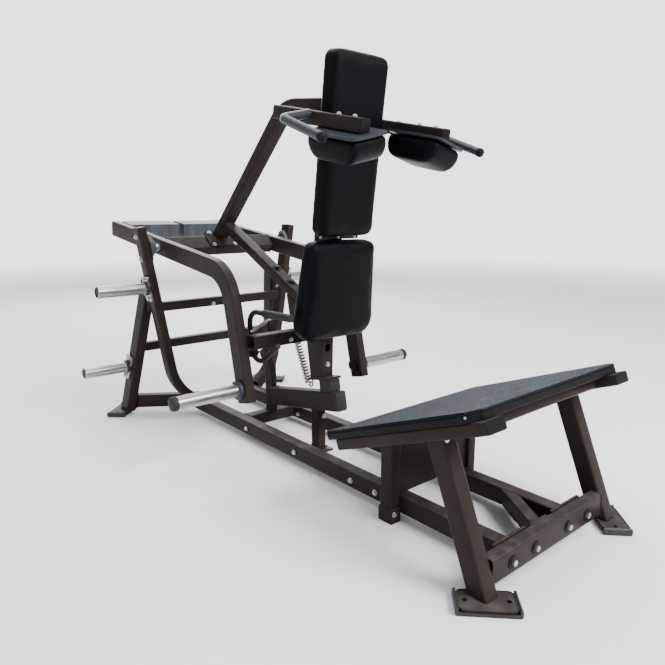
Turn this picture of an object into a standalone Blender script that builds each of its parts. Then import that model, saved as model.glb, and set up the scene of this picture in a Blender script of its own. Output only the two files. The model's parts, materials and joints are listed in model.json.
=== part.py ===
"""V-squat machine: a plate-loaded squat lever that swings on a rear frame above an inclined foot platform.

Metres, +Z up. The user faces -Y, so the user's right hand is at -X. Places along the machine are measured
in +Y from the front feet, and the empty named machine moves that point so that the world's origin is on
the floor under the middle of the machine. Everything that swings hangs from an empty on the lever's axis,
and the release handle hangs from an empty on its own pivot.
"""

import bpy
import bmesh
from math import atan2, cos, pi, radians, sin, tan
from mathutils import Matrix, Vector

# Fits and stock
GAP = 0.0003
WALL = 0.003
CORNER = 0.006
PLATE_CORNER = 0.004
THROUGH = 0.080
CORNER_STEPS = 2
BEND_STEPS = 8
ROUND_STEPS = 20
TUBE = (0.050, 0.075)
SQUARE_TUBE = (0.050, 0.050)
SMALL_TUBE = (0.040, 0.040)

# Where the machine stands
MIDDLE_Y = 1.088
FLOOR = 0.0
X = Vector((1, 0, 0))
Y = Vector((0, 1, 0))
Z = Vector((0, 0, 1))
SIDES = (("right", -1), ("left", 1))

# Foot platform
DECK_WIDTH = 0.700
DECK_REAR = (0.552, 0.296)
DECK_FRONT = (0.032, 0.494)
DECK_BOARD = 0.018
DECK_MAT = 0.009
DECK_CHAMFER = 0.030
DECK_TUBE = (0.075, 0.034)
DECK_TUBE_X = 0.3075
DECK_TUBE_START = 0.030
DECK_TUBE_SHORT = 0.004
DECK_PLUG = (0.074, 0.033, 0.024)
DECK_CROSS = (0.050, 0.032)
DECK_CROSS_BACK = 0.070
DECK_ROUND = 0.002

# Front legs and base
LEG = (0.050, 0.056)
LEG_X = 0.300
LEG_FOOT_Y = 0.016
LEG_LEAN = radians(22)
LEG_REACH = 0.450
FOOT_PLATE = (0.139, 0.078, 0.007)
FOOT_CORNER = 0.014
FOOT_HOLE = (0.053, 0.0065)
FRONT_FOOT_SHIFT = (0.010, -0.018)
REAR_FOOT_SHIFT = (0.018, 0.022)
SOLE = 0.010
SOLE_LIP = (0.008, 0.005)
SOLE_EASE = (0.0018, 0.002)
SOLE_CHAMFER = 0.004
SOLE_ROUND = 0.0015
CROSSBAR = (0.040, 0.070)
CROSSBAR_PLACE = (0.030, 0.065)
RAIL = (0.050, 0.058)
RAIL_X = 0.140
RAIL_Z = 0.052
RAIL_END_Y = 1.7725
RAIL_PLATE = (0.150, 0.088, 0.008)
RAIL_PLATE_Z = 0.057
BRACE = (0.050, 0.042)
BRACE_REAR = (0.228, 0.055)
BRACE_PLATE = (0.084, 0.080)
BRACE_OVERLAP = 0.005
POST = (0.040, 0.050)
POST_X = 0.1853
POST_Y = 0.445
POST_FOOT_Z = 0.010
POST_REACH = 0.450
BOOT = (0.042, 0.058, 0.045)
BOOT_SHIFT = 0.0015
PANEL_TOP = 0.298
PANEL_THICK = 0.006
PANEL_SHIFT = -0.008
PANEL_ROUND = 0.001

# Rear frame
UPRIGHT = (0.060, 0.038)
UPRIGHT_Y = 1.735
UPRIGHT_TOP = (0.385, 0.862)
UPRIGHT_KNEE = (0.268, 0.168)
UPRIGHT_END = (0.160, 0.0645)
UPRIGHT_BEND = 0.220
REAR_LEG = (0.045, 0.070)
REAR_LEG_FOOT = (0.402, 1.953)
REAR_LEG_TOP = (0.325, 1.806, 0.640)
GUSSET_X = 0.334
GUSSET_THICK = 0.030
GUSSET_REAR = ((1.812, 0.500), (1.804, 0.632))
GUSSET_TOP = 0.655
FLOOR_BRACE = (0.060, 0.045)
FLOOR_BRACE_OUTER = (0.400, 1.945)
FLOOR_BRACE_INNER = 0.150
FLOOR_BRACE_Z = 0.060
UPPER_CROSSBAR = (1.735, 0.522)
LOWER_CROSSBAR = (1.880, 0.322)
HORN_RADIUS = 0.0245
UPPER_HORN = (1.735, 0.606)
UPPER_HORN_TIP = 0.582
LOWER_HORN = (1.915, 0.232)
LOWER_HORN_TIP = 0.602
HORN_FLANGE = (0.056, 0.110, 0.008)
HORN_FLANGE_CORNER = 0.008
HORN_SINK = 0.0065
HORN_COLLAR = (0.0295, 0.012, 0.015)
HORN_LIP = (0.001, 0.012, 0.003)

# Swing lever
PIVOT = (1.735, 0.778)
SHAFT_RADIUS = 0.0165
SHAFT_CHAMFER = 0.001
SHAFT_END_X = 0.347
BEARING_FLANGE_X = 0.340
BEARING_FACE_X = 0.326
BEARING_SIZE = (0.036, 0.026, 0.066)
BEARING_CORNERS = (0.024, 0.013)
BEARING_FLANGE = 0.030
BEARING_SINK = 0.004
BEARING_BOSS = ((0.033, 0.018), (0.031, 0.003), (0.028, 0.0))
BEARING_BOLT = (0.047, 0.008, 0.011)
ARM = (0.040, 0.071)
ARM_X = 0.284
ARM_REAR = (2.258, 0.848)
ARM_BEND = (1.197, 0.709)
ARM_TIP = (1.089, 0.240)
ARM_BEND_RADIUS = 0.150
LOADING_HORN = (1.110, 0.285)
LOADING_TIP_X = 0.575
LOADING_COLLAR = ((0.036, 0.012), (0.034, 0.014))
LOADING_LIP = (0.0015, 0.016, 0.006, 0.008)
WEIGHT_GAP = 0.022
WEIGHT_SIZE = (0.120, 0.075)
WEIGHT_PLACE = 0.078
WEIGHT_ROUND = 0.003
MAST = (0.062, 0.042)
MAST_FOOT = (1.7405, 0.8195)
MAST_BEND = (1.201, 1.326)
MAST_END = (0.900, 1.289)
MAST_BEND_RADIUS = 0.170
MAST_PLATE = (0.150, 0.086, 0.008)
MAST_PLATE_SHIFT = 0.020
STRUT = (0.050, 0.040)
STRUT_TOP = (1.690, 0.8816)
STRUT_END = (1.030, 0.5516)
TIE_Z = 0.462
RELEASE_BOSS = (0.015, 0.029)
RELEASE_PIN_END = 0.062
PIN_SINK = 0.002

# Pad column: its front is one straight line that both pads sit on
COLUMN_WIDTH = 0.058
COLUMN_DEPTH = 0.095
COLUMN_LINE = (0.9625, 0.473)
COLUMN_LEAN = 0.1325
COLUMN_TOP_Z = 1.318
COLUMN_TOE = (0.967, 1.036)
COLUMN_KNEE = 0.450
COLUMN_ROUND = 0.003
COLUMN_GUSSET = ((1.030, 0.492), (1.165, 0.500))
COLUMN_GUSSET_REAR = 1.190
COLUMN_GUSSET_TOP = (1.030, 0.5385)
HOLLOW_LOW = 0.360
SLOT = (0.024, 0.036, 0.0115)
SLOT_Z = 0.425
FOOT_WIDTH = 0.072
FOOT_REAR_Y = 1.042
FOOT_FRONT_Y = 0.924
FOOT_THICK = 0.008
BACK_PAD = (0.250, 0.600, 0.064)
BACK_PAD_BOTTOM_Z = 0.850
BACK_PAD_CORNERS = (0.030, 0.030)
BACK_PAD_EDGE = 0.012
HIP_PAD_WIDTHS = (0.306, 0.368)
HIP_PAD_HEIGHT = 0.352
HIP_PAD_THICK = 0.058
HIP_PAD_BOTTOM_Z = 0.473
HIP_PAD_CORNERS = (0.070, 0.032)
HIP_PAD_EDGE = 0.014

# Shoulder yoke
YOKE = (0.050, 0.045)
BEAM = (0.040, 0.045)
BEAM_X = 0.180
BEAM_FRONT = (0.580, 1.172)
BEAM_BEHIND = 0.030
SHOULDER_PLATE = (0.143, 0.235, 0.008)
SHOULDER_CORNERS = (0.012, 0.022)
SHOULDER_SINK = 0.003
SHOULDER_PAD_DEPTH = 0.078
SHOULDER_PAD_TURN = 0.054
SHOULDER_PAD_EASE = 0.004
SHOULDER_FRONT_Y = 0.543
SHOULDER_ROLL = radians(14)
HANDLE_RADIUS = 0.014
HANDLE_X = 0.350
HANDLE_ROOT = (0.200, 0.815, 1.232)
HANDLE_TURN = (0.748, 1.197)
HANDLE_END = (0.565, 1.128)
HANDLE_BEND = 0.035

# Bottom stop
STOP_CROSS = (1.362, 0.055)
STOP_POST = (0.030, 0.050)
STOP_POST_Y = 1.3475
STOP_POST_BEND = 0.130
STOP_POST_KNEE_Z = 0.255
STOP_POST_TOP = (1.395, 0.345)
STOP_FRONT_POST = (0.040, 0.045)
STOP_FRONT_PLACE = (1.022, 0.004)
STOP_FRONT_REACH = 0.250
STOP_FRONT_PLATE = (0.080, 0.090, 0.008)
STOP_BEAM_REAR = (1.300, 0.158)
STOP_BEAM_FRONT = (0.890, 0.232)
BUFFER = (0.048, 0.070, 0.046)
BUFFER_FRONT_Y = 0.922
BUFFER_ROUND = 0.003

# Release handle
RELEASE_X = -0.222
RELEASE_PIVOT = (1.134, 0.410)
RELEASE_ROD = 0.010
RELEASE_PIN = 0.008
RELEASE_HUB = (0.018, 0.020)
RELEASE_BEND = 0.050
RELEASE_UPPER = ((0.004, 0.014), (1.165, 0.566), (0.905, 0.572))
RELEASE_LOWER = ((-0.006, -0.013), (1.090, 0.377), (0.971, 0.463))
GRIP_LINE = ((1.060, 0.5684), (0.895, 0.5722))
GRIP_WALL = 0.0045
GRIP_CAP = 0.009
GRIP_CHAMFER = 0.002

# Colours
PAINT = (0.030, 0.024, 0.022)
STEEL = (0.62, 0.61, 0.59)
ZINC = (0.50, 0.50, 0.48)
RUBBER = (0.016, 0.017, 0.019)
GRIT = (0.045, 0.050, 0.055)
VINYL = (0.008, 0.009, 0.012)
SLATE = (0.055, 0.065, 0.080)


def clear_scene():
    """Removes whatever the scene held."""
    for obj in list(bpy.data.objects):
        bpy.data.objects.remove(obj)


def empty(name, place, parent=None):
    """A named empty, placed from its parent."""
    obj = bpy.data.objects.new(name, None)
    bpy.context.collection.objects.link(obj)
    obj.parent = parent
    obj.location = place
    return obj


def finish(obj, colour, roughness, metallic=0.0):
    """Gives the object its own material."""
    material = bpy.data.materials.new(obj.name + "_finish")
    material.use_nodes = True
    shader = material.node_tree.nodes["Principled BSDF"]
    shader.inputs["Base Color"].default_value = (*colour, 1)
    shader.inputs["Roughness"].default_value = roughness
    shader.inputs["Metallic"].default_value = metallic
    obj.data.materials.append(material)


FINISHES = {
    "paint": (PAINT, 0.38, 0.0),
    "chrome": (STEEL, 0.28, 1.0),
    "zinc": (ZINC, 0.42, 1.0),
    "rubber": (RUBBER, 0.60, 0.0),
    "grit": (GRIT, 0.85, 0.0),
    "vinyl": (VINYL, 0.42, 0.0),
    "weight": (SLATE, 0.45, 0.0),
}


def add(name, mesh, parent, kind, smooth=40):
    """Links a bmesh as an object whose origin is its parent's, with its points still in machine places."""
    bmesh.ops.recalc_face_normals(mesh, faces=mesh.faces)
    data = bpy.data.meshes.new(name)
    mesh.to_mesh(data)
    mesh.free()
    if smooth:
        data.shade_smooth()
        data.set_sharp_from_angle(angle=radians(smooth))
    obj = bpy.data.objects.new(name, data)
    bpy.context.collection.objects.link(obj)
    obj.parent = parent
    data.transform(Matrix.Translation(-parent_place(parent)))
    finish(obj, *FINISHES[kind])
    return obj


def parent_place(parent):
    """Where a parent is in machine places: the sum of the steps up to the machine's own empty."""
    place = Vector((0, 0, 0))
    while parent and parent.parent:
        place += parent.location
        parent = parent.parent
    return place


def cut(obj, cutter, operation="DIFFERENCE"):
    """Puts a Boolean on the object, and hides its tool."""
    tool = bpy.data.objects.new(obj.name + "_tool", cutter)
    bpy.context.collection.objects.link(tool)
    tool.parent = obj.parent
    cutter.transform(Matrix.Translation(-parent_place(obj.parent)))
    tool.hide_render = True
    tool.display_type = "WIRE"
    modifier = obj.modifiers.new("opening", "BOOLEAN")
    modifier.object = tool
    modifier.operation = operation
    modifier.solver = "EXACT"


def mesh_of(shape):
    """Turns a bmesh into mesh data with its faces out."""
    bmesh.ops.recalc_face_normals(shape, faces=shape.faces)
    data = bpy.data.meshes.new("tool")
    shape.to_mesh(data)
    shape.free()
    return data


def round_loop(width, height, radius):
    """Corners of a rounded rectangle about its middle, anticlockwise."""
    loop = []
    for right, top, start in ((1, 1, 0), (-1, 1, 90), (-1, -1, 180), (1, -1, 270)):
        for step in range(CORNER_STEPS + 1):
            angle = radians(start + 90 * step / CORNER_STEPS)
            across = right * (width / 2 - radius) + radius * cos(angle)
            up = top * (height / 2 - radius) + radius * sin(angle)
            loop.append((across, up))
    return loop


def circle_loop(radius, steps=ROUND_STEPS):
    """Points of a circle, anticlockwise."""
    return [(radius * cos(2 * pi * i / steps), radius * sin(2 * pi * i / steps)) for i in range(steps)]


def stations(points, bend_radius=0.0, steps=BEND_STEPS):
    """Places and headings along straight runs whose corners are bent to a radius."""
    points = [Vector(p) for p in points]
    found = [(points[0], (points[1] - points[0]).normalized())]
    for before, corner, after in zip(points, points[1:], points[2:]):
        heading = (corner - before).normalized()
        leaving = (after - corner).normalized()
        turn = heading.angle(leaving)
        inward = (leaving - heading * cos(turn)).normalized()
        start = corner - heading * bend_radius * tan(turn / 2)
        for step in range(steps + 1):
            angle = turn * step / steps
            place = start + heading * bend_radius * sin(angle) + inward * bend_radius * (1 - cos(angle))
            found.append((place, heading * cos(angle) + inward * sin(angle)))
    found.append((points[-1], (points[-1] - points[-2]).normalized()))
    return found


def swept(path, side, outer, inner=None, start_cut=None, end_cut=None):
    """Sweeps a section along stations. With an inner loop the section is a tube's wall, open at both ends."""
    shape = bmesh.new()
    rings = []
    last = len(path) - 1
    for index, (place, heading) in enumerate(path):
        across = (side - heading * side.dot(heading)).normalized()
        up = heading.cross(across)
        plane = {0: start_cut, last: end_cut}.get(index)
        ring = []
        for loop in (outer, inner or ()):
            corners = []
            for a, b in loop:
                point = place + across * a + up * b
                if plane:
                    point += heading * ((plane[0] - point).dot(plane[1]) / heading.dot(plane[1]))
                corners.append(shape.verts.new(point))
            ring.append(corners)
        rings.append(ring)
    for near, far in zip(rings, rings[1:]):
        for before, after in zip(near, far):
            for i in range(len(before)):
                j = (i + 1) % len(before)
                shape.faces.new((before[i], before[j], after[j], after[i]))
    for ring in (rings[0], rings[-1]):
        if inner:
            for i in range(len(outer)):
                j = (i + 1) % len(outer)
                shape.faces.new((ring[0][i], ring[0][j], ring[1][j], ring[1][i]))
        else:
            shape.faces.new(ring[0])
    return shape


def tube(points, side, section=TUBE, bend_radius=0.0, start_cut=None, end_cut=None, steps=BEND_STEPS):
    """A rectangular tube with rounded corners. The section's first size lies along side."""
    outer = round_loop(*section, CORNER)
    inner = round_loop(section[0] - 2 * WALL, section[1] - 2 * WALL, CORNER - WALL)
    return swept(stations(points, bend_radius, steps), side, outer, inner, start_cut, end_cut)


def rod(points, side, radius, bend_radius=0.0, steps=6, around=14, start_cut=None):
    """A solid round rod."""
    return swept(stations(points, bend_radius, steps), side, circle_loop(radius, around), start_cut=start_cut)


def turned(profile, place, axis, steps=ROUND_STEPS):
    """Spins a profile of (distance along the axis, radius) pairs about an axis through place."""
    shape = bmesh.new()
    corners = [shape.verts.new((radius, 0, along)) for along, radius in profile]
    edges = [shape.edges.new(pair) for pair in zip(corners, corners[1:] + corners[:1])]
    bmesh.ops.spin(
        shape, geom=corners + edges, cent=(0, 0, 0), axis=(0, 0, 1),
        angle=2 * pi, steps=steps, use_merge=True, use_duplicate=False,
    )
    bmesh.ops.remove_doubles(shape, verts=shape.verts, dist=1e-6)
    bmesh.ops.dissolve_degenerate(shape, edges=shape.edges, dist=1e-6)
    turn = Vector((0, 0, 1)).rotation_difference(Vector(axis)).to_matrix().to_4x4()
    bmesh.ops.transform(shape, matrix=Matrix.Translation(Vector(place)) @ turn, verts=shape.verts)
    return shape


def block(outline, thickness, frame):
    """Extrudes a flat outline, given in the frame's first two axes, along its third."""
    shape = bmesh.new()
    face = shape.faces.new([shape.verts.new((a, b, 0)) for a, b in outline])
    grown = bmesh.ops.extrude_face_region(shape, geom=[face])["geom"]
    verts = [part for part in grown if isinstance(part, bmesh.types.BMVert)]
    bmesh.ops.translate(shape, vec=(0, 0, thickness), verts=verts)
    bmesh.ops.transform(shape, matrix=frame, verts=shape.verts)
    return shape


def frame_at(place, across, up):
    """A matrix whose axes are across, up and their normal, at a place."""
    across, up = Vector(across).normalized(), Vector(up).normalized()
    out = across.cross(up)
    turn = Matrix((across, up, out)).transposed().to_4x4()
    return Matrix.Translation(Vector(place)) @ turn


def soften(obj, width, segments=2, angle=30):
    """Rounds an object's sharp edges."""
    bevel = obj.modifiers.new("rounding", "BEVEL")
    bevel.width = width
    bevel.segments = segments
    bevel.limit_method = "ANGLE"
    bevel.angle_limit = radians(angle)


def arc(centre, radius, start, end, steps):
    """Points on an arc from one angle to another, in degrees."""
    found = []
    for step in range(steps + 1):
        angle = radians(start + (end - start) * step / steps)
        found.append((centre[0] + radius * cos(angle), centre[1] + radius * sin(angle)))
    return found


def rounded(corners, steps=4):
    """An outline through (x, y, radius) corners, anticlockwise."""
    outline = []
    count = len(corners)
    for i, (x, y, radius) in enumerate(corners):
        here = Vector((x, y))
        before = (here - Vector(corners[i - 1][:2])).normalized()
        after = (Vector(corners[(i + 1) % count][:2]) - here).normalized()
        turn = before.angle(after)
        start = here - before * radius * tan(turn / 2)
        inward = (after - before * cos(turn)).normalized()
        for step in range(steps + 1):
            angle = turn * step / steps
            outline.append(start + before * radius * sin(angle) + inward * radius * (1 - cos(angle)))
    return [tuple(point) for point in outline]


class Run:
    """A straight stretch of tube: its middle line and the way its section lies."""

    def __init__(self, start, end, side, section):
        self.start = Vector(start)
        self.along = (Vector(end) - self.start).normalized()
        self.side = (side - self.along * side.dot(self.along)).normalized()
        self.up = self.along.cross(self.side)
        self.section = section

    def face(self, toward, clear=GAP):
        """The plane just clear of the wall that faces the given way."""
        wide, tall = (size / 2 for size in self.section)
        walls = ((self.side, wide), (-self.side, wide), (self.up, tall), (-self.up, tall))
        normal, reach = max(walls, key=lambda wall: wall[0].dot(toward))
        return self.start + normal * (reach + clear), normal


def wall_frame(place, along, out):
    """Axes for a plate on a wall: its length lies along, and its thickness grows out of the wall."""
    return frame_at(place, along.cross(out), along)


def side_frame(x):
    """Axes for an outline drawn in the machine's side view and grown toward +X."""
    return frame_at((x, 0, 0), Y, Z)


def build_deck(machine):
    """Rubber-faced board on two capped side tubes, joined under the front edge."""
    rear, front = Vector((0, *DECK_REAR)), Vector((0, *DECK_FRONT))
    up = (front - rear).normalized()
    out = up.cross(X)
    length = (front - rear).length
    half = DECK_WIDTH / 2
    outline = [
        (-half, 0), (half, 0), (half, length - DECK_CHAMFER), (half - DECK_CHAMFER, length),
        (-half + DECK_CHAMFER, length), (-half, length - DECK_CHAMFER),
    ]
    for name, kind, top, thick in (
        ("deck_mat", "grit", 0, DECK_MAT), ("deck_board", "rubber", DECK_MAT + GAP, DECK_BOARD),
    ):
        place = wall_frame(rear - out * (top + thick), up, out)
        layer = add(name, block(outline, thick, place), machine, kind)
        soften(layer, DECK_ROUND)
    seat = rear - out * (DECK_MAT + DECK_BOARD + 2 * GAP)
    middle = seat - out * DECK_TUBE[1] / 2
    for name, sign in SIDES:
        start = middle + X * sign * DECK_TUBE_X + up * DECK_TUBE_START
        end = middle + X * sign * DECK_TUBE_X + up * (length - DECK_TUBE_SHORT)
        rail = add("deck_side_tube_" + name, tube((start, end), X, DECK_TUBE), machine, "paint")
        wide, tall, long = DECK_PLUG
        place = frame_at(end - up * DECK_TUBE_SHORT, X, up.cross(X))
        cut(rail, mesh_of(block(round_loop(wide, tall, CORNER), long, place)), "UNION")
    cross = seat - out * DECK_CROSS[1] / 2 + up * (length - DECK_CROSS_BACK)
    reach = DECK_TUBE_X - DECK_TUBE[0] / 2 - GAP
    add("deck_front_tube", tube((cross - X * reach, cross + X * reach), up, DECK_CROSS), machine, "paint")
    return middle - out * (DECK_TUBE[1] / 2 + GAP), seat, out


def foot_outline():
    """A foot plate's outline, long side first."""
    long, short = (size / 2 for size in FOOT_PLATE[:2])
    corners = ((-long, -short), (long, -short), (long, short), (-long, short))
    return rounded([(*corner, FOOT_CORNER) for corner in corners], 3)


def weld_foot(leg, place, outward):
    """Joins a two-hole plate to a leg. The plate's long side lies square to the outward way."""
    along = Vector((-outward.y, outward.x, 0))
    plate = block(foot_outline(), FOOT_PLATE[2], frame_at(place, along, Z.cross(along)))
    cut(leg, mesh_of(plate), "UNION")
    spread, radius = FOOT_HOLE
    for end in (-1, 1):
        cut(leg, mesh_of(turned(bore_profile(radius), place + along * end * spread, Z, 12)))


def bore_profile(radius):
    """The profile of a straight hole that runs right through."""
    return [(-THROUGH / 2, 0), (-THROUGH / 2, radius), (THROUGH / 2, radius), (THROUGH / 2, 0)]


def add_sole(name, machine, place, outward):
    """The rubber shoe under a foot plate, with a lip rolled up at each end of the plate."""
    along = Vector((-outward.y, outward.x, 0))
    half = FOOT_PLATE[0] / 2 + SOLE_EASE[0]
    tip = half + SOLE_LIP[0]
    top = SOLE + FOOT_PLATE[2] + SOLE_LIP[1]
    half_short = FOOT_PLATE[1] / 2 + SOLE_EASE[1]
    trim = SOLE_CHAMFER
    outline = [
        (-tip, trim), (-tip + trim, 0), (tip - trim, 0), (tip, trim), (tip, top - trim), (tip - trim, top),
        (half, top), (half, SOLE), (-half, SOLE), (-half, top), (-tip + trim, top), (-tip, top - trim),
    ]
    across = along.cross(Z)
    start = Vector((place.x, place.y, FLOOR)) - across * half_short
    sole = add(name, block(outline, 2 * half_short, frame_at(start, along, Z)), machine, "rubber")
    soften(sole, SOLE_ROUND, 1, 50)


def build_front(machine, under_deck, out):
    """Raked front legs with splayed foot plates, and the crossbar between them."""
    lean = Vector((0, sin(LEG_LEAN), cos(LEG_LEAN)))
    for name, sign in SIDES:
        sole_top = SOLE + GAP
        base = Vector((sign * LEG_X, LEG_FOOT_Y, sole_top + FOOT_PLATE[2] / 2))
        leg = add(
            "front_leg_" + name,
            tube((base, base + lean * LEG_REACH), X, LEG, start_cut=(base, Z), end_cut=(under_deck, out)),
            machine, "paint",
        )
        outward = Vector((sign, -1, 0)).normalized()
        place = Vector((sign * (LEG_X + FRONT_FOOT_SHIFT[0]), LEG_FOOT_Y + FRONT_FOOT_SHIFT[1], sole_top))
        weld_foot(leg, place, outward)
        add_sole("front_foot_" + name, machine, place, outward)
    inner = LEG_X - LEG[0] / 2 - GAP
    ends = [Vector((sign * inner, *CROSSBAR_PLACE)) for sign in (-1, 1)]
    add("front_crossbar", tube(ends, Y, CROSSBAR), machine, "paint")


def build_base(machine, seat, out):
    """Two rails with bolted end plates, the brace, and the posts and panel under the deck's rear."""
    wall = CROSSBAR_PLACE[0] + CROSSBAR[0] / 2 + GAP
    wide, tall, thick = RAIL_PLATE
    for name, sign in SIDES:
        ends = [Vector((sign * RAIL_X, y, RAIL_Z)) for y in (wall + thick / 2, RAIL_END_Y)]
        rail = add("base_rail_" + name, tube(ends, X, RAIL), machine, "paint")
        place = frame_at((sign * RAIL_X, wall + thick, RAIL_PLATE_Z), X, Z)
        cut(rail, mesh_of(block(round_loop(wide, tall, PLATE_CORNER), thick, place)), "UNION")
    inner = RAIL_X - RAIL[0] / 2 - GAP
    ends = (Vector((0, wall, BRACE_REAR[1])), Vector((inner + BRACE_OVERLAP, *BRACE_REAR)))
    cuts = ((Vector((0, wall + thick / 2, 0)), Y), (Vector((inner, 0, 0)), X))
    brace = add("base_brace", tube(ends, Z, BRACE, 0, *cuts), machine, "paint")
    place = frame_at((0, wall + thick, RAIL_PLATE_Z), X, Z)
    cut(brace, mesh_of(block(round_loop(*BRACE_PLATE, PLATE_CORNER), thick, place)), "UNION")
    for name, sign in SIDES:
        foot = Vector((sign * POST_X, POST_Y, POST_FOOT_Z))
        shape = tube((foot, foot + Z * POST_REACH), X, POST, end_cut=(seat, out))
        post = add("deck_post_" + name, shape, machine, "paint")
        place = frame_at((sign * (POST_X + BOOT_SHIFT), POST_Y, FLOOR), X, Y)
        wide, long, tall = BOOT
        cut(post, mesh_of(block(round_loop(wide, long, PLATE_CORNER), tall, place)), "UNION")
    half = POST_X - POST[0] / 2 - GAP
    low = RAIL_Z + RAIL[1] / 2 + GAP
    outline = [(-half, 0), (half, 0), (half, PANEL_TOP - low), (-half, PANEL_TOP - low)]
    place = frame_at((0, POST_Y + PANEL_SHIFT, low), X, Z)
    panel = add("deck_panel", block(outline, PANEL_THICK, place), machine, "paint")
    soften(panel, PANEL_ROUND, 1)


def rear_leg_run(sign):
    """The rear leg's middle line."""
    foot = Vector((sign * REAR_LEG_FOOT[0], REAR_LEG_FOOT[1], SOLE + GAP + FOOT_PLATE[2] / 2))
    top = Vector((sign * REAR_LEG_TOP[0], *REAR_LEG_TOP[1:]))
    return Run(foot, top, X, REAR_LEG), foot, top


def build_rear_frame(machine):
    """Curved uprights, raked rear legs, floor braces, crossbars, plate horns and the pivot's bearings."""
    walls = {"upper": [], "lower": []}
    for name, sign in SIDES:
        line = [Vector((sign * x, UPRIGHT_Y, z)) for x, z in (UPRIGHT_TOP, UPRIGHT_KNEE, UPRIGHT_END)]
        rail_wall = (Vector((sign * (RAIL_X + RAIL[0] / 2 + GAP), 0, 0)), X)
        shape = tube(line, Y, UPRIGHT, UPRIGHT_BEND, end_cut=rail_wall)
        add("upright_" + name, shape, machine, "paint")
        upright = Run(*line[:2], Y, UPRIGHT)
        leg = rear_leg(machine, name, sign)
        horn(machine, "storage_horn_upper_" + name, sign, upright, UPPER_HORN, UPPER_HORN_TIP)
        horn(machine, "storage_horn_lower_" + name, sign, leg, LOWER_HORN, LOWER_HORN_TIP)
        bearing(machine, name, sign, upright)
        walls["upper"].append(upright.face(-X * sign))
        walls["lower"].append(leg.face(-X * sign))
    for level, (y, z) in (("upper", UPPER_CROSSBAR), ("lower", LOWER_CROSSBAR)):
        ends = (Vector((-UPRIGHT_TOP[0], y, z)), Vector((UPRIGHT_TOP[0], y, z)))
        add(level + "_crossbar", tube(ends, Y, SMALL_TUBE, 0, *walls[level]), machine, "paint")


def rear_leg(machine, name, sign):
    """A raked rear leg with its gusset and foot plate, and the floor brace to the rail's end."""
    run, foot, top = rear_leg_run(sign)
    leg = add("rear_leg_" + name, tube((foot, top), X, REAR_LEG, 0, (foot, Z), (top, Z)), machine, "paint")
    wall = UPRIGHT_Y + UPRIGHT[0] / 2 + GAP
    gusset = [(wall, GUSSET_REAR[0][1]), *GUSSET_REAR, (wall, GUSSET_TOP)]
    place = side_frame(sign * GUSSET_X - GUSSET_THICK / 2)
    cut(leg, mesh_of(block(gusset, GUSSET_THICK, place)), "UNION")
    outward = Vector((sign, 1, 0)).normalized()
    place = Vector((foot.x + sign * REAR_FOOT_SHIFT[0], foot.y + REAR_FOOT_SHIFT[1], SOLE + GAP))
    weld_foot(leg, place, outward)
    add_sole("rear_foot_" + name, machine, place, outward)
    x, y = FLOOR_BRACE_OUTER
    start = Vector((sign * x, y, FLOOR_BRACE_Z))
    end = Vector((sign * FLOOR_BRACE_INNER, RAIL_END_Y, FLOOR_BRACE_Z))
    rail_end = (Vector((0, RAIL_END_Y + GAP, 0)), Y)
    brace = tube((start, end), Z, FLOOR_BRACE, 0, run.face(-X * sign), rail_end)
    add("floor_brace_" + name, brace, machine, "paint")
    return run


def horn(machine, name, sign, run, place, tip_x):
    """A plate horn: a flange on its tube's outer wall, a weld collar, the sleeve and an end cap."""
    wall, out = run.face(X * sign)
    y, z = place
    seat = Vector((wall.x - ((y - wall.y) * out.y + (z - wall.z) * out.z) / out.x, y, z))
    wide, long, thick = HORN_FLANGE
    flange = block(round_loop(wide, long, HORN_FLANGE_CORNER), thick, wall_frame(seat, run.along, out))
    obj = add(name, flange, machine, "chrome")
    root = seat + X * sign * HORN_SINK
    length = tip_x - abs(root.x)
    collar, collar_flat, collar_end = HORN_COLLAR
    proud, lip, trim = HORN_LIP
    profile = [
        (0, 0), (0, collar), (collar_flat, collar), (collar_end, HORN_RADIUS),
        (length - lip, HORN_RADIUS), (length - lip + proud / 2, HORN_RADIUS + proud),
        (length - trim, HORN_RADIUS + proud), (length, HORN_RADIUS - trim), (length, 0),
    ]
    cut(obj, mesh_of(turned(profile, root, X * sign)), "UNION")


def bearing(machine, name, sign, upright):
    """A two-bolt flange bearing seated on the upright's inner wall, bored for the shaft."""
    place = Vector((sign * BEARING_FLANGE_X, *PIVOT))
    half, shoulder, ear = BEARING_SIZE
    wide, tight = BEARING_CORNERS
    outline = rounded([
        (-half, -shoulder, wide), (0, -ear, tight), (half, -shoulder, wide),
        (half, shoulder, wide), (0, ear, tight), (-half, shoulder, wide),
    ], 3)
    path = stations((place, place + X * sign * BEARING_FLANGE))
    housing = add(
        "pivot_bearing_" + name, swept(path, Y, outline, end_cut=upright.face(-X * sign)), machine, "zinc"
    )
    depth = BEARING_FLANGE_X - BEARING_FACE_X + BEARING_SINK
    profile = [(0, 0), *((depth - back, radius) for radius, back in BEARING_BOSS), (depth, 0)]
    cut(housing, mesh_of(turned(profile, place + X * sign * BEARING_SINK, -X * sign)), "UNION")
    spread, radius, tall = BEARING_BOLT
    for end in (-1, 1):
        head = [(0, 0), (0, radius), (tall, radius), (tall, 0)]
        seat = place + X * sign * BEARING_SINK / 2 + Z * end * spread
        cut(housing, mesh_of(turned(head, seat, -X * sign, 6)), "UNION")
    cut(housing, mesh_of(turned(bore_profile(SHAFT_RADIUS + GAP), place, X * sign, 24)))


def stop_beam_run():
    """The stop beam's middle line."""
    rear, front = Vector((0, *STOP_BEAM_REAR)), Vector((0, *STOP_BEAM_FRONT))
    return Run(rear, front, X, TUBE), rear, front


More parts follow.
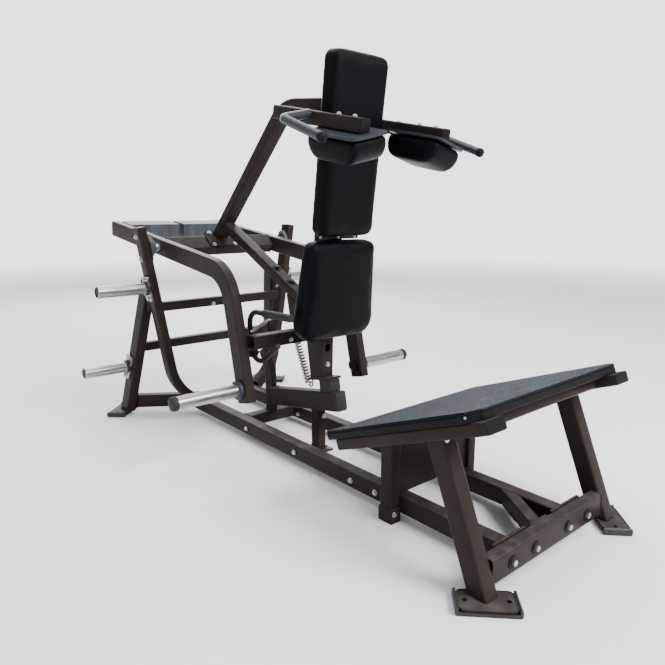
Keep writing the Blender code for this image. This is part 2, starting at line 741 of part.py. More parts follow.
def buffer_top(y):
    """How high the buffer's top would be at a place along the stop beam, with a gap over it."""
    run, rear, front = stop_beam_run()
    rise = -run.along.z / run.along.y
    offset = TUBE[1] / 2 + GAP + BUFFER[2] + GAP
    return rear.z + (rear.y - y) * rise - offset / run.along.y


def build_stop(machine):
    """The bottom stop: a cross tube, two posts, and a sloping beam with a rubber buffer on its front end."""
    inner = RAIL_X - RAIL[0] / 2 - GAP
    ends = (Vector((-inner, *STOP_CROSS)), Vector((inner, *STOP_CROSS)))
    add("stop_cross_tube", tube(ends, Y, SQUARE_TUBE), machine, "paint")
    base = STOP_CROSS[1] + SQUARE_TUBE[1] / 2 + GAP
    line = ((STOP_POST_Y, base), (STOP_POST_Y, STOP_POST_KNEE_Z), STOP_POST_TOP)
    path = [Vector((0, *place)) for place in line]
    add("stop_rear_post", tube(path, X, STOP_POST, STOP_POST_BEND), machine, "paint")
    run, rear, front = stop_beam_run()
    post_wall = (Vector((0, STOP_POST_Y - STOP_POST[1] / 2 - GAP, 0)), Y)
    add("stop_beam", tube((rear, front), X, TUBE, start_cut=post_wall), machine, "paint")
    foot = Vector((0, *STOP_FRONT_PLACE))
    shape = tube((foot, foot + Z * STOP_FRONT_REACH), X, STOP_FRONT_POST, end_cut=run.face(-Z))
    post = add("stop_front_post", shape, machine, "paint")
    wide, long, thick = STOP_FRONT_PLATE
    place = frame_at((0, STOP_FRONT_PLACE[0], FLOOR), X, Y)
    cut(post, mesh_of(block(round_loop(wide, long, PLATE_CORNER), thick, place)), "UNION")
    wide, long, tall = BUFFER
    top, up = run.face(Z)
    along = (BUFFER_FRONT_Y - top.y - tall * up.y) / run.along.y
    place = top + run.along * (along - long)
    outline = [(-wide / 2, 0), (wide / 2, 0), (wide / 2, long), (-wide / 2, long)]
    buffer = add("stop_buffer", block(outline, tall, wall_frame(place, run.along, up)), machine, "rubber")
    soften(buffer, BUFFER_ROUND)


def build_lever(lever):
    """Side arms on the pivot shaft, joined by the cross tube, the counterweights and the lower tie."""
    inner = ARM_X - ARM[0] / 2 - GAP
    for name, sign in SIDES:
        path = [Vector((sign * ARM_X, y, z)) for y, z in (ARM_REAR, ARM_BEND, ARM_TIP)]
        arm = add("side_arm_" + name, tube(path, X, ARM, ARM_BEND_RADIUS, steps=12), lever, "paint")
        cut(arm, mesh_of(turned(bore_profile(SHAFT_RADIUS + GAP), (sign * ARM_X, *PIVOT), X * sign, 24)))
        if sign < 0:
            boss, step = RELEASE_BOSS
            end = RELEASE_PIN_END
            pin = [(0, 0), (0, boss), (step, boss), (step, RELEASE_PIN), (end, RELEASE_PIN), (end, 0)]
            cut(arm, mesh_of(turned(pin, (-ARM_X + ARM[0] / 2 - PIN_SINK, *RELEASE_PIVOT), X, 16)), "UNION")
        loading_horn(lever, name, sign)
        counterweight(lever, name, sign)
    end = SHAFT_END_X
    trim = SHAFT_CHAMFER
    profile = [
        (0, 0), (0, SHAFT_RADIUS - trim), (trim, SHAFT_RADIUS), (2 * end - trim, SHAFT_RADIUS),
        (2 * end, SHAFT_RADIUS - trim), (2 * end, 0),
    ]
    add("pivot_shaft", turned(profile, (-end, *PIVOT), X, 24), lever, "zinc")
    slope = Vector((0, 1, 1)).normalized()
    ends = [Vector((sign * inner, *PIVOT)) for sign in (-1, 1)]
    add("lever_cross_tube", tube(ends, slope, (TUBE[1], TUBE[0])), lever, "paint")
    tie_y = column_rear(COLUMN_KNEE) + SQUARE_TUBE[0] / 2 + GAP
    ends = [Vector((sign * inner, tie_y, TIE_Z)) for sign in (-1, 1)]
    add("lever_tie", tube(ends, Y, SQUARE_TUBE), lever, "paint")
    return Run((0, *PIVOT), (1, *PIVOT), slope, (TUBE[1], TUBE[0]))


def loading_horn(lever, name, sign):
    """A loading horn: collar, sleeve and rounded cap, on the arm's outer wall."""
    root_x = ARM_X + ARM[0] / 2 + GAP
    length = LOADING_TIP_X - root_x
    (collar, flat), (collar_edge, collar_end) = LOADING_COLLAR
    proud, lip, cap, turn = LOADING_LIP
    profile = [
        (0, 0), (0, collar), (flat, collar), (collar_end, collar_edge), (collar_end, HORN_RADIUS),
        (length - lip, HORN_RADIUS), (length - lip + proud / 3, HORN_RADIUS + proud),
        (length - cap, HORN_RADIUS), (length, HORN_RADIUS - turn), (length, 0),
    ]
    place = (sign * root_x, *LOADING_HORN)
    add("loading_horn_" + name, turned(profile, place, X * sign, 24), lever, "chrome")


def counterweight(lever, name, sign):
    """One of the two steel blocks between the arms' rear ends."""
    outer = ARM_X - ARM[0] / 2 - GAP
    half = (outer - WEIGHT_GAP / 2) / 2
    along = (Vector((0, *ARM_BEND)) - Vector((0, *ARM_REAR))).normalized()
    up = X.cross(along) if X.cross(along).z > 0 else along.cross(X)
    long, tall = WEIGHT_SIZE
    middle = Vector((sign * (outer - half), *ARM_REAR)) + along * WEIGHT_PLACE - up * tall / 2
    outline = [(-long / 2, -half), (long / 2, -half), (long / 2, half), (-long / 2, half)]
    shape = block(outline, tall, frame_at(middle, along, up.cross(along)))
    soften(add("counterweight_" + name, shape, lever, "weight"), WEIGHT_ROUND)


def column_front(z):
    """Where the column's front is at a height."""
    return COLUMN_LINE[0] - COLUMN_LEAN * (z - COLUMN_LINE[1])


def column_rear(z):
    """Where the column's rear is at a height above its taper."""
    return column_front(z) + COLUMN_DEPTH


def column_axes():
    """The column's upward and rearward ways."""
    up = Vector((0, -COLUMN_LEAN, 1)).normalized()
    return up, X.cross(up) * -1


def column_back():
    """The plane just clear of the column's rear."""
    back = column_axes()[1]
    return Vector((0, column_rear(COLUMN_KNEE), COLUMN_KNEE)) + back * GAP, back


def build_mast(lever, cross):
    """The mast from the cross tube up and over to the column, and the strut below it."""
    foot, bend, end = (Vector((0, *place)) for place in (MAST_FOOT, MAST_BEND, MAST_END))
    seat, out = cross.face(Vector((0, -1, 1)))
    wide, long, thick = MAST_PLATE
    path = (foot, bend, end)
    shape = tube(path, X, MAST, MAST_BEND_RADIUS, (seat + out * thick / 2, out), column_back())
    mast = add("mast", shape, lever, "paint")
    run = Run(foot, bend, X, MAST)
    landing = foot + run.along * ((seat - foot).dot(out) / run.along.dot(out))
    place = wall_frame(landing - cross.side * MAST_PLATE_SHIFT, cross.side, out)
    cut(mast, mesh_of(block(round_loop(wide, long, CORNER), thick, place)), "UNION")
    top, low = Vector((0, *STRUT_TOP)), Vector((0, *STRUT_END))
    strut = tube((top, low), X, STRUT, 0, run.face(Vector((0, -1, -1))), column_back())
    add("centre_strut", strut, lever, "paint")
    return Run(bend, end, X, MAST), Run(top, low, X, STRUT)


def build_column(lever, strut):
    """The hollow pad column, its gusset under the strut, and the foot that lands on the buffer."""
    toe_front, toe_rear = COLUMN_TOE
    top, knee = COLUMN_TOP_Z, COLUMN_KNEE
    under, normal = strut.face(-Z)

    def strut_under(y):
        return under.z - (y - under.y) * normal.y / normal.z

    sink = FOOT_THICK / 2
    outline = [
        (toe_front, buffer_top(toe_front) + sink), (toe_rear, buffer_top(toe_rear) + sink),
        (column_rear(knee), knee), (column_rear(top), top), (column_front(top), top),
        (column_front(COLUMN_LINE[1]), COLUMN_LINE[1]),
    ]
    half = COLUMN_WIDTH / 2
    column = add("pad_column", block(outline, COLUMN_WIDTH, side_frame(-half)), lever, "paint")
    soften(column, COLUMN_ROUND, 1)
    rear = column_rear(COLUMN_GUSSET_TOP[1])
    gusset = [
        *COLUMN_GUSSET, (COLUMN_GUSSET_REAR, strut_under(COLUMN_GUSSET_REAR)), (rear, strut_under(rear)),
        COLUMN_GUSSET_TOP,
    ]
    cut(column, mesh_of(block(gusset, STRUT[0], side_frame(-STRUT[0] / 2))), "UNION")
    low, high = HOLLOW_LOW, top + COLUMN_WIDTH
    hollow = [
        (column_front(low) + WALL, low), (toe_rear, low), (column_rear(knee) - 2 * WALL, knee + 2 * WALL),
        (column_rear(high) - WALL, high), (column_front(high) + WALL, high),
    ]
    cut(column, mesh_of(block(hollow, COLUMN_WIDTH - 2 * WALL, side_frame(-half + WALL))))
    wide, tall, radius = SLOT
    corners = ((-wide, -tall), (wide, -tall), (wide, tall), (-wide, tall))
    slot = rounded([(x / 2, z / 2, radius) for x, z in corners], 4)
    place = frame_at((0, column_front(SLOT_Z) + WALL * 2, SLOT_Z), X, Z)
    cut(column, mesh_of(block(slot, COLUMN_WIDTH / 2, place)))
    run = stop_beam_run()[0]
    up = run.face(Z)[1]
    long = (FOOT_REAR_Y - FOOT_FRONT_Y) / abs(run.along.y)
    half = FOOT_WIDTH / 2
    outline = rounded([(x, y, CORNER) for x, y in ((-half, 0), (half, 0), (half, long), (-half, long))], 2)
    place = Vector((0, FOOT_REAR_Y, buffer_top(FOOT_REAR_Y)))
    cut(column, mesh_of(block(outline, FOOT_THICK, wall_frame(place, run.along, up))), "UNION")


def pad_outline(bottom, top, length, corners):
    """A pad's outline: half widths at its bottom and top, its length, and its corner radii."""
    low, high = corners
    return rounded([(-bottom, 0, low), (bottom, 0, low), (top, length, high), (-top, length, high)], 4)


def build_pads(lever):
    """Back and hip pads on the column's front, each a plain solid of its true outline."""
    up, back = column_axes()
    width, length, thick = BACK_PAD
    narrow, wide = (w / 2 for w in HIP_PAD_WIDTHS)
    back_line = pad_outline(width / 2, width / 2, length, BACK_PAD_CORNERS)
    hip_line = pad_outline(wide, narrow, HIP_PAD_HEIGHT, HIP_PAD_CORNERS)
    for name, z, outline, depth, edge in (
        ("back_pad", BACK_PAD_BOTTOM_Z, back_line, thick, BACK_PAD_EDGE),
        ("hip_pad", HIP_PAD_BOTTOM_Z, hip_line, HIP_PAD_THICK, HIP_PAD_EDGE),
    ):
        place = Vector((0, column_front(z), z)) - back * GAP
        pad = add(name, block(outline, depth, wall_frame(place, up, -back)), lever, "vinyl")
        soften(pad, edge, 2)


def build_yoke(lever, mast_end):
    """Shoulder yoke: cross tube under the mast, two sloping beams with plates, pads and bent handles."""
    under, down = mast_end.face(-Z)
    back_point, back = column_back()
    centre = under + down * YOKE[1] / 2
    clear = YOKE[0] / 2 + GAP - (centre - back_point).dot(back)
    centre += mast_end.along * (clear / mast_end.along.dot(back))
    reach = BEAM_X - BEAM[0] / 2 - GAP
    ends = (centre - X * reach, centre + X * reach)
    add("yoke_cross_tube", tube(ends, mast_end.along, YOKE), lever, "paint")
    front = Vector((0, *BEAM_FRONT))
    along = (front - centre).normalized()
    for name, sign in SIDES:
        ends = (centre - along * BEAM_BEHIND + X * sign * BEAM_X, front + X * sign * BEAM_X)
        run = Run(*ends, X, BEAM)
        beam = add("shoulder_beam_" + name, tube(ends, X, BEAM), lever, "paint")
        shoulder(lever, name, sign, beam, run)
        handle(lever, name, sign)


def shoulder(lever, name, sign, beam, run):
    """The plate welded under a beam and the boat-shaped pad below it, both rolled outward and down."""
    up = run.up if run.up.z > 0 else -run.up
    over = up * cos(SHOULDER_ROLL) + X * sign * sin(SHOULDER_ROLL)
    wide, long, thick = SHOULDER_PLATE
    middle_y = SHOULDER_FRONT_Y + long / 2 * abs(run.along.y)
    centre = run.start + run.along * ((middle_y - run.start.y) / run.along.y)
    centre -= up * (BEAM[1] / 2 - SHOULDER_SINK)
    rear, front = SHOULDER_CORNERS
    outline = rounded([
        (-wide / 2, -long / 2, rear), (wide / 2, -long / 2, rear),
        (wide / 2, long / 2, front), (-wide / 2, long / 2, front),
    ], 3)
    plate = block(outline, thick, wall_frame(centre - over * thick, run.along, over))
    cut(beam, mesh_of(plate), "UNION")
    wide, long = wide - SHOULDER_PAD_EASE, long - SHOULDER_PAD_EASE
    half, turn, depth = long / 2, SHOULDER_PAD_TURN, SHOULDER_PAD_DEPTH
    outline = [(-half, 0)] + arc((-half + turn, turn - depth), turn, 180, 270, 5)
    outline += arc((half - turn, turn - depth), turn, 270, 360, 5) + [(half, 0)]
    frame = frame_at(centre - over * (thick + GAP), run.along, over)
    frame = Matrix.Translation(frame.to_3x3() @ Z * -wide / 2) @ frame
    soften(add("shoulder_pad_" + name, block(outline, wide, frame), lever, "vinyl"), BACK_PAD_EDGE, 2)


def handle(lever, name, sign):
    """A bent handle: out from the beam, then forward."""
    wall = (Vector((sign * (BEAM_X + BEAM[0] / 2 + GAP), 0, 0)), X)
    x, y, z = HANDLE_ROOT
    points = ((sign * x, y, z), (sign * HANDLE_X, *HANDLE_TURN), (sign * HANDLE_X, *HANDLE_END))
    add("handle_" + name, rod(points, Z, HANDLE_RADIUS, HANDLE_BEND, start_cut=wall), lever, "rubber")


def build_release(release):
    """The release handle at the user's right hip: a hub on the arm's pin, an upper hook and a lower rod."""
    y, z = RELEASE_PIVOT
    radius, wide = RELEASE_HUB
    bore = RELEASE_PIN + GAP
    hub = [(0, bore), (0, radius), (wide, radius), (wide, bore)]
    obj = add("release_handle", turned(hub, (RELEASE_X - wide / 2, y, z), X, 20), release, "paint")
    for (step_y, step_z), *rest in (RELEASE_UPPER, RELEASE_LOWER):
        points = [(RELEASE_X, y + step_y, z + step_z)] + [(RELEASE_X, *place) for place in rest]
        cut(obj, mesh_of(rod(points, X, RELEASE_ROD, RELEASE_BEND, around=12)), "UNION")
    start, end = (Vector((RELEASE_X, *place)) for place in GRIP_LINE)
    along = (end - start).normalized()
    long = (end - start).length
    bore, grip, trim = RELEASE_ROD + 2 * GAP, RELEASE_ROD + GRIP_WALL, GRIP_CHAMFER
    profile = [
        (0, bore), (0, grip - trim), (trim, grip), (long - trim, grip), (long, grip - 2 * trim), (long, 0),
        (long - GRIP_CAP, 0), (long - GRIP_CAP, bore),
    ]
    add("release_grip", turned(profile, start, along, 16), release, "rubber")


def main():
    """Builds the machine."""
    clear_scene()
    machine = empty("machine", (0, -MIDDLE_Y, 0))
    lever = empty("lever_axis", (0, *PIVOT), machine)
    under_deck, seat, out = build_deck(machine)
    build_front(machine, under_deck, out)
    build_base(machine, seat, out)
    build_rear_frame(machine)
    build_stop(machine)
    cross = build_lever(lever)
    mast_end, strut = build_mast(lever, cross)
    build_column(lever, strut)
    build_pads(lever)
    build_yoke(lever, mast_end)
    release = empty("release_axis", Vector((RELEASE_X, *RELEASE_PIVOT)) - lever.location, lever)
    build_release(release)


if __name__ == "__main__":
    main()
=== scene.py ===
"""Looks of the v-squat machine: finishes, upholstery, fasteners, end caps, welds, spring, stage and camera.

Places are written in machine places, measured in +Y from the front feet as in the part's source, and at()
turns them into the world's. Every piece stays at rest, and rides on the body that carries it.
"""

import json
from functools import cache
from math import cos, pi, radians, sin, tan

import bmesh
import bpy
from mathutils import Matrix, Vector
from mathutils.bvhtree import BVHTree
from mathutils.geometry import convex_hull_2d

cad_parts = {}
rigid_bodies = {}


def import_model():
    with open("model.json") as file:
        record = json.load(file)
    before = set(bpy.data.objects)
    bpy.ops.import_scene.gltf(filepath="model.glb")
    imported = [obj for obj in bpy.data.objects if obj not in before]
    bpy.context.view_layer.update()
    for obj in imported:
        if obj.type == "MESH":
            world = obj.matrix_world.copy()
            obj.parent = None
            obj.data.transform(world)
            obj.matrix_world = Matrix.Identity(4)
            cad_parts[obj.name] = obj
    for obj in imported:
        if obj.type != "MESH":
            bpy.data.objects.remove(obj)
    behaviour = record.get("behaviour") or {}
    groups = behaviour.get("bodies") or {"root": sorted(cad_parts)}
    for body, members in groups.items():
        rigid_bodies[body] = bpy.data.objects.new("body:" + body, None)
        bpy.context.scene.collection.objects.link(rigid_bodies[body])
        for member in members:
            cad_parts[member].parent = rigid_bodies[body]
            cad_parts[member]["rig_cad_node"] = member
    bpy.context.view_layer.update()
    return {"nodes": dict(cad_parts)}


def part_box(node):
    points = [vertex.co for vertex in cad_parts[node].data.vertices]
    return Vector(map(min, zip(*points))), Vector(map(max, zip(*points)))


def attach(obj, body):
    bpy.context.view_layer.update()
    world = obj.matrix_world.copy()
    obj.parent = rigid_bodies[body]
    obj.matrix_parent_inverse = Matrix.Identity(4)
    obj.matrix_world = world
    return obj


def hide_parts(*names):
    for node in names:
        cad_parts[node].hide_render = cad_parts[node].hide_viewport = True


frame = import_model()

bl_info = {
    "name": "V-squat machine looks",
    "version": (1, 0, 0),
    "blender": (4, 5, 0),
    "location": "3D View > Sidebar > Machine",
    "description": "Dresses the packed squat machine with finishes, upholstery, fasteners and a studio",
    "category": "Object",
}

# The machine's middle, measured from its front feet
MIDDLE_Y = 1.088
X = Vector((1, 0, 0))
Y = Vector((0, 1, 0))
Z = Vector((0, 0, 1))
SIDES = (("right", -1), ("left", 1))

# How far a pad's back stands off the column
GAP = 0.0003

# How near points of one node are the same point
JOIN_WITHIN = 1e-5

# How an end's faces are told from the rest: cosines of angles, an area and distances
FACING = 0.8
FLUSH = 0.999
SLIVER = 1e-7
SAME_PLANE = 1e-4
TILT_WORTH = 0.02

# The pad bracket, and the release handle's pivot and brace with places as (y, z)
BRACKET_Z = (0.8355, 0.8495)
BRACKET_HALF = 0.098
BRACKET_THICK = 0.006
BRACKET_ROUND = 0.003
BRACKET_SCREWS = (-0.080, 0.004, 0.080)
RELEASE_X = -0.222
RELEASE_PIVOT = (1.134, 0.410)
BRACE_LOW = (1.150, 0.486)
BRACE_HIGH = (1.010, 0.560)
BRACE_RADIUS = 0.0065

# Lines and radii of the solids that pieces are placed from, with the horns and the pivot as (y, z)
PIVOT = (1.735, 0.778)
BEAM_X = 0.180
BEAM_HALF = 0.0205
BEAM_FRONT = 0.5745
HANDLE_END = (0.350, 0.565, 1.128)
HANDLE_WAY = (0, -0.183, -0.069)
HANDLE_RADIUS = 0.014
HORN_RADIUS = 0.0245
UPPER_HORN = (1.735, 0.606)
LOWER_HORN = (1.915, 0.232)
LOADING_HORN = (1.110, 0.285)
LOADING_TIP_X = 0.575
COLLAR_RADIUS = 0.0305

# The pad column's front at one (y, z) place, and how far forward it leans for each metre up
COLUMN_LINE = (0.9625, 0.473)
COLUMN_LEAN = 0.1325

# How far a handle's cap stands past the handle's radius, and how far its crown rises as a share of its own
CAP_LIP = 0.0014
CAP_CROWN = 0.7

# The return spring: its plane, the (y, z) ends of its coil and hooks, the coil's radius, turns and steps,
# its straight neck, and where the coil starts on its line and how much of that line it takes up
SPRING_X = -0.015
SPRING_TOP = (1.140, 0.436)
SPRING_LOW = (1.060, 0.262)
UPPER_HOOK = ((1.140, 0.501), (1.142, 0.450))
LOWER_HOOK = ((1.052, 0.2565), (1.040, 0.262), (1.037, 0.2935))
SPRING_RADIUS = 0.0118
SPRING_TURNS = 14
SPRING_STEPS = 14
SPRING_NECK = 0.004
COIL_START = 0.05
COIL_SHARE = 0.90

# The column's pads: name, foot's height, half width at foot and top, length, corners at foot and top, depth
CUSHIONS = (
    ("back", 0.850, 0.125, 0.125, 0.600, 0.030, 0.030, 0.064),
    ("hip", 0.473, 0.184, 0.153, 0.364, 0.070, 0.032, 0.058),
)
CUSHION_EDGE = 0.016
SHOULDER_HALF = 0.07

# How near its board a pad's skin stays put, and how many frames the cloth runs for
BOARD_REACH = 0.006
CLOTH_FRAMES = 20


def at(x, y, z):
    """A machine place in the world."""
    return Vector((x, y - MIDDLE_Y, z))


def put(thing, **settings):
    """Sets a thing's attributes by name, in that order, and returns it."""
    for name, setting in settings.items():
        setattr(thing, name, setting)
    return thing


def arithmetic(operation, turned=False):
    """A method that puts a Math node between a value and the other side, or the other way round."""

    def method(self, other):
        return self.math(operation, *((other, self) if turned else (self, other)))

    return method


class Value:
    """One output of a node. Arithmetic on it adds Math nodes."""

    __add__, __radd__ = arithmetic("ADD"), arithmetic("ADD", turned=True)
    __sub__, __rsub__ = arithmetic("SUBTRACT"), arithmetic("SUBTRACT", turned=True)
    __mul__ = arithmetic("MULTIPLY")
    __gt__, __lt__ = arithmetic("GREATER_THAN"), arithmetic("LESS_THAN")

    def __init__(self, tree, socket):
        self.tree, self.socket = tree, socket

    def __abs__(self):
        return self.math("ABSOLUTE", self)

    def math(self, operation, *values):
        return self.tree.node("ShaderNodeMath", dict(enumerate(values)), operation=operation)

    def sine(self):
        return self.math("SINE", self)

    def between(self, low, high):
        """0 below low, 1 above high, and a smooth step between them."""
        values = {"Value": self, "From Min": low, "From Max": high}
        return self.tree.node("ShaderNodeMapRange", values, interpolation_type="SMOOTHSTEP")


class Tree:
    """A node tree whose nodes are all added by one method."""

    def __init__(self, tree):
        self.tree = tree
        tree.nodes.clear()

    def node(self, kind, values=None, out=None, **settings):
        """Adds a node with its settings first, then its sockets' values or links.

        Returns the output of a name, or else the first, if the node has one.
        """
        made = put(self.tree.nodes.new(kind), **settings)
        for key, value in (values or {}).items():
            if isinstance(key, int):
                socket = made.inputs[key]
            else:
                socket = next(s for s in made.inputs if s.name == key and s.enabled)
            if isinstance(value, Value):
                self.tree.links.new(value.socket, socket)
            elif socket.type == "RGBA":
                socket.default_value = (*value[:3], 1)
            else:
                socket.default_value = value
        shown = (s for s in made.outputs if s.enabled and out in (None, s.name))
        return next((Value(self, socket) for socket in shown), None)


class Finish(Tree):
    """A material whose patterns are laid out on the object's own coordinates."""

    def __init__(self, name):
        self.material = bpy.data.materials.new(name)
        self.material.use_nodes = True
        super().__init__(self.material.node_tree)
        self.place = self.node("ShaderNodeTexCoord", out="Object")

    def scaled(self, size):
        """The place stretched by a vector: bigger numbers pack a pattern closer along their axes."""
        return self.node("ShaderNodeVectorMath", {0: self.place, 1: size}, operation="MULTIPLY")

    def noise(self, scale, detail=2.0, place=None, roughness=0.5):
        values = {"Vector": place or self.place, "Scale": scale, "Detail": detail, "Roughness": roughness}
        return self.node("ShaderNodeTexNoise", values)

    def cells(self, scale, feature):
        return self.node("ShaderNodeTexVoronoi", {"Vector": self.place, "Scale": scale}, feature=feature)

    def mix(self, share, first, second):
        """A colour between two colours."""
        values = {"Factor": share, "A": first, "B": second}
        return self.node("ShaderNodeMix", values, out="Result", data_type="RGBA")

    def axis(self, name):
        """One coordinate of the place."""
        return self.node("ShaderNodeSeparateXYZ", {0: self.place}, out=name)

    def upward(self):
        """How far the surface faces up at rest, from 0 to 1."""
        facing = self.node("ShaderNodeTexCoord", out="Normal")
        return self.node("ShaderNodeSeparateXYZ", {0: facing}, out="Z").between(0.3, 0.95)

    def done(self, colour, roughness, bumps=(), **sockets):
        """Wires the shader. Bumps are (height, distance) pairs, coarsest first."""
        values = {"Base Color": colour, "Roughness": roughness}
        values.update({name.replace("_", " "): value for name, value in sockets.items()})
        for height, distance in bumps:
            bump = {"Height": height, "Distance": distance, "Strength": 1.0}
            if "Normal" in values:
                bump["Normal"] = values["Normal"]
            values["Normal"] = self.node("ShaderNodeBump", bump)
        shader = self.node("ShaderNodeBsdfPrincipled", values)
        self.node("ShaderNodeOutputMaterial", {"Surface": shader})
        return self.material


def sizes():
    """The sizes that the panel shows."""
    return bpy.context.scene.machine_sizes


def colours():
    """The colours that the panel shows."""
    return bpy.context.scene.machine_colours


def powder_coat():
    """Dark bronze powder coat: fine orange peel, slow drift in tone, and a patchy paler grey where it faces
    up that is partly dust and partly a painted sky sheen.
    """
    f = Finish("powder_coat")
    base = Vector(colours().paint)
    drift = f.noise(6, 3)
    speck = f.noise(900, 1)
    tone = f.mix(drift.between(0.3, 0.7), base * 0.86, base * 1.16)
    tone = f.mix((speck > 0.64) * 0.35, tone, base * 1.9)
    # Paler grey where the surface faces up: partly dust, partly a painted sheen standing in for the sky's
    # reflection on the tops
    dust_and_sky_sheen = f.upward() * (0.10 + f.noise(28, 4).between(0.40, 0.75) * 0.16)
    tone = f.mix(dust_and_sky_sheen, tone, (0.20, 0.19, 0.18))
    roughness = 0.37 + (drift - 0.5) * 0.16
    bumps = ((f.noise(420, 2), 0.00022),)
    return f.done(tone, roughness, bumps, Specular_IOR_Level=0.06)


def yoke_coat():
    """The powder coat of the shoulder beams, with the plates welded under them in a blue-grey that is partly
    their slate coat and partly a painted sky reflection.
    """
    f = Finish("yoke_coat")
    base = Vector(colours().paint)
    beside = abs(abs(f.axis("X")) - BEAM_X) > BEAM_HALF
    plate = beside.math("MAXIMUM", beside, f.axis("Y") < BEAM_FRONT - MIDDLE_Y)
    drift = f.noise(6, 3)
    tone = f.mix(drift.between(0.3, 0.7), base * 0.86, base * 1.16)
    # Plates: blue-grey, partly their slate coat and partly a painted reflection of the sky
    tone = f.mix(plate, tone, colours().grip)
    roughness = 0.36 + (drift - 0.5) * 0.16 - plate * 0.06
    return f.done(tone, roughness, ((f.noise(420, 2), 0.00022),), Specular_IOR_Level=0.12)


def sleeve_steel(name, collar_x=0.0, axis=None):
    """Worn bright steel of the plate sleeves, with rings and scratches round them.

    It is blue-grey nearer the middle than collar_x, and only near the horn's (y, z) axis where one is given.
    """
    f = Finish(name)
    base = Vector(colours().chrome)
    across = abs(f.axis("X"))
    streaks = f.noise(60, 4, f.scaled((0.25, 2.2, 2.2)), 0.65)
    rings = f.noise(260, 2, f.scaled((1.0, 0.03, 0.03)), 0.6)
    tone = f.mix(streaks.between(0.35, 0.7), base * 0.62, base * 1.1)
    tone = f.mix(rings.between(0.58, 0.72) * 0.4, tone, base * 0.42)
    collar = across < collar_x
    if axis:
        aside, above = f.axis("Y") - (axis[0] - MIDDLE_Y), f.axis("Z") - axis[1]
        reach = aside * aside + above * above
        collar = collar * (reach < COLLAR_RADIUS * COLLAR_RADIUS)
    tone = f.mix(collar, tone, colours().grip)
    roughness = 0.24 + streaks * 0.14 + rings.between(0.5, 0.75) * 0.12 + collar * 0.12
    bumps = ((rings, 0.00010), (streaks, 0.00008))
    return f.done(tone, roughness, bumps, Metallic=1 - collar, Specular_IOR_Level=0.20)


def zinc_plate():
    """Dull zinc plating of bolts and bearings."""
    f = Finish("zinc_plate")
    base = Vector(colours().zinc)
    mottle = f.noise(140, 4)
    tone = f.mix(mottle.between(0.35, 0.7), base * 0.7, base * 1.1)
    return f.done(tone, 0.30 + mottle * 0.2, ((f.noise(700, 2), 0.00006),), Metallic=1.0)


def black_oxide():
    """Blackened steel of the dark bolts and washers."""
    f = Finish("black_oxide")
    mottle = f.noise(160, 3)
    tone = f.mix(mottle, (0.014, 0.014, 0.015), (0.040, 0.039, 0.038))
    return f.done(tone, 0.34 + mottle * 0.2, ((f.noise(800, 1), 0.00005),), Metallic=0.6)


def coil_steel():
    """Oiled spring steel."""
    f = Finish("coil_steel")
    mottle = f.noise(90, 3)
    tone = f.mix(mottle, (0.17, 0.155, 0.135), (0.38, 0.36, 0.33))
    return f.done(tone, 0.30 + mottle * 0.15, ((f.noise(800, 1), 0.00005),), Metallic=0.9)


def moulded_rubber():
    """Black moulded rubber with a dusty bloom."""
    f = Finish("moulded_rubber")
    base = Vector(colours().rubber)
    bloom = f.noise(40, 5)
    tone = f.mix(bloom.between(0.4, 0.75), base * 0.75, base * 1.9)
    return f.done(tone, 0.50 + bloom * 0.2, ((f.noise(900, 2), 0.00018),), Specular_IOR_Level=0.30)


def shoe_rubber():
    """The floor shoes' rubber: the upper band of their rims is painted a lighter blue-grey as a highlight on
    their tops.
    """
    f = Finish("shoe_rubber")
    base = Vector(colours().rubber)
    bloom = f.noise(55, 4)
    # Painted highlight: the rims' upper band is lighter, where light falls on the shoes' tops
    rim = f.axis("Z").between(0.012, 0.019)
    tone = f.mix(bloom.between(0.4, 0.75), base * 0.8, base * 1.9)
    tone = f.mix(rim * 0.6, tone, colours().grip)
    return f.done(tone, 0.42 + bloom * 0.2, ((f.noise(900, 2), 0.00015),))


def grip_rubber():
    """Smooth blue-grey black rubber of the handles."""
    f = Finish("grip_rubber")
    base = Vector(colours().grip)
    wear = f.noise(30, 4)
    tone = f.mix(wear, base * 0.75, base * 1.2)
    return f.done(tone, 0.34 + wear * 0.14, ((f.noise(600, 3), 0.00020),), Specular_IOR_Level=0.40)


def black_plastic():
    """Injection-moulded black plastic of plugs and caps."""
    f = Finish("black_plastic")
    flow = f.noise(35, 3)
    tone = f.mix(flow, (0.005, 0.005, 0.006), (0.011, 0.011, 0.012))
    return f.done(tone, 0.36 + flow * 0.12, ((f.noise(1100, 1), 0.00010),), Specular_IOR_Level=0.06)


def deck_grit():
    """Pebbled slate mat with pale mineral flecks."""
    f = Finish("deck_grit")
    base = Vector(colours().grit)
    pebbles = f.cells(330, "SMOOTH_F1")
    fine = f.noise(1200, 2)
    fleck = f.noise(230, 1) > 0.63
    patch = f.noise(7, 4)
    tone = f.mix(patch.between(0.3, 0.7), base * 0.8, base * 1.2)
    tone = f.mix(pebbles.between(0.25, 0.7) * 0.55, tone, base * 0.45)
    tone = f.mix(fleck * 0.75, tone, (0.20, 0.22, 0.24))
    tone = f.mix(f.upward(), base * 0.15, tone)
    roughness = 0.80 - fleck * 0.25
    return f.done(tone, roughness, ((1 - pebbles, 0.0011), (fine, 0.0004)), Specular_IOR_Level=0.07)


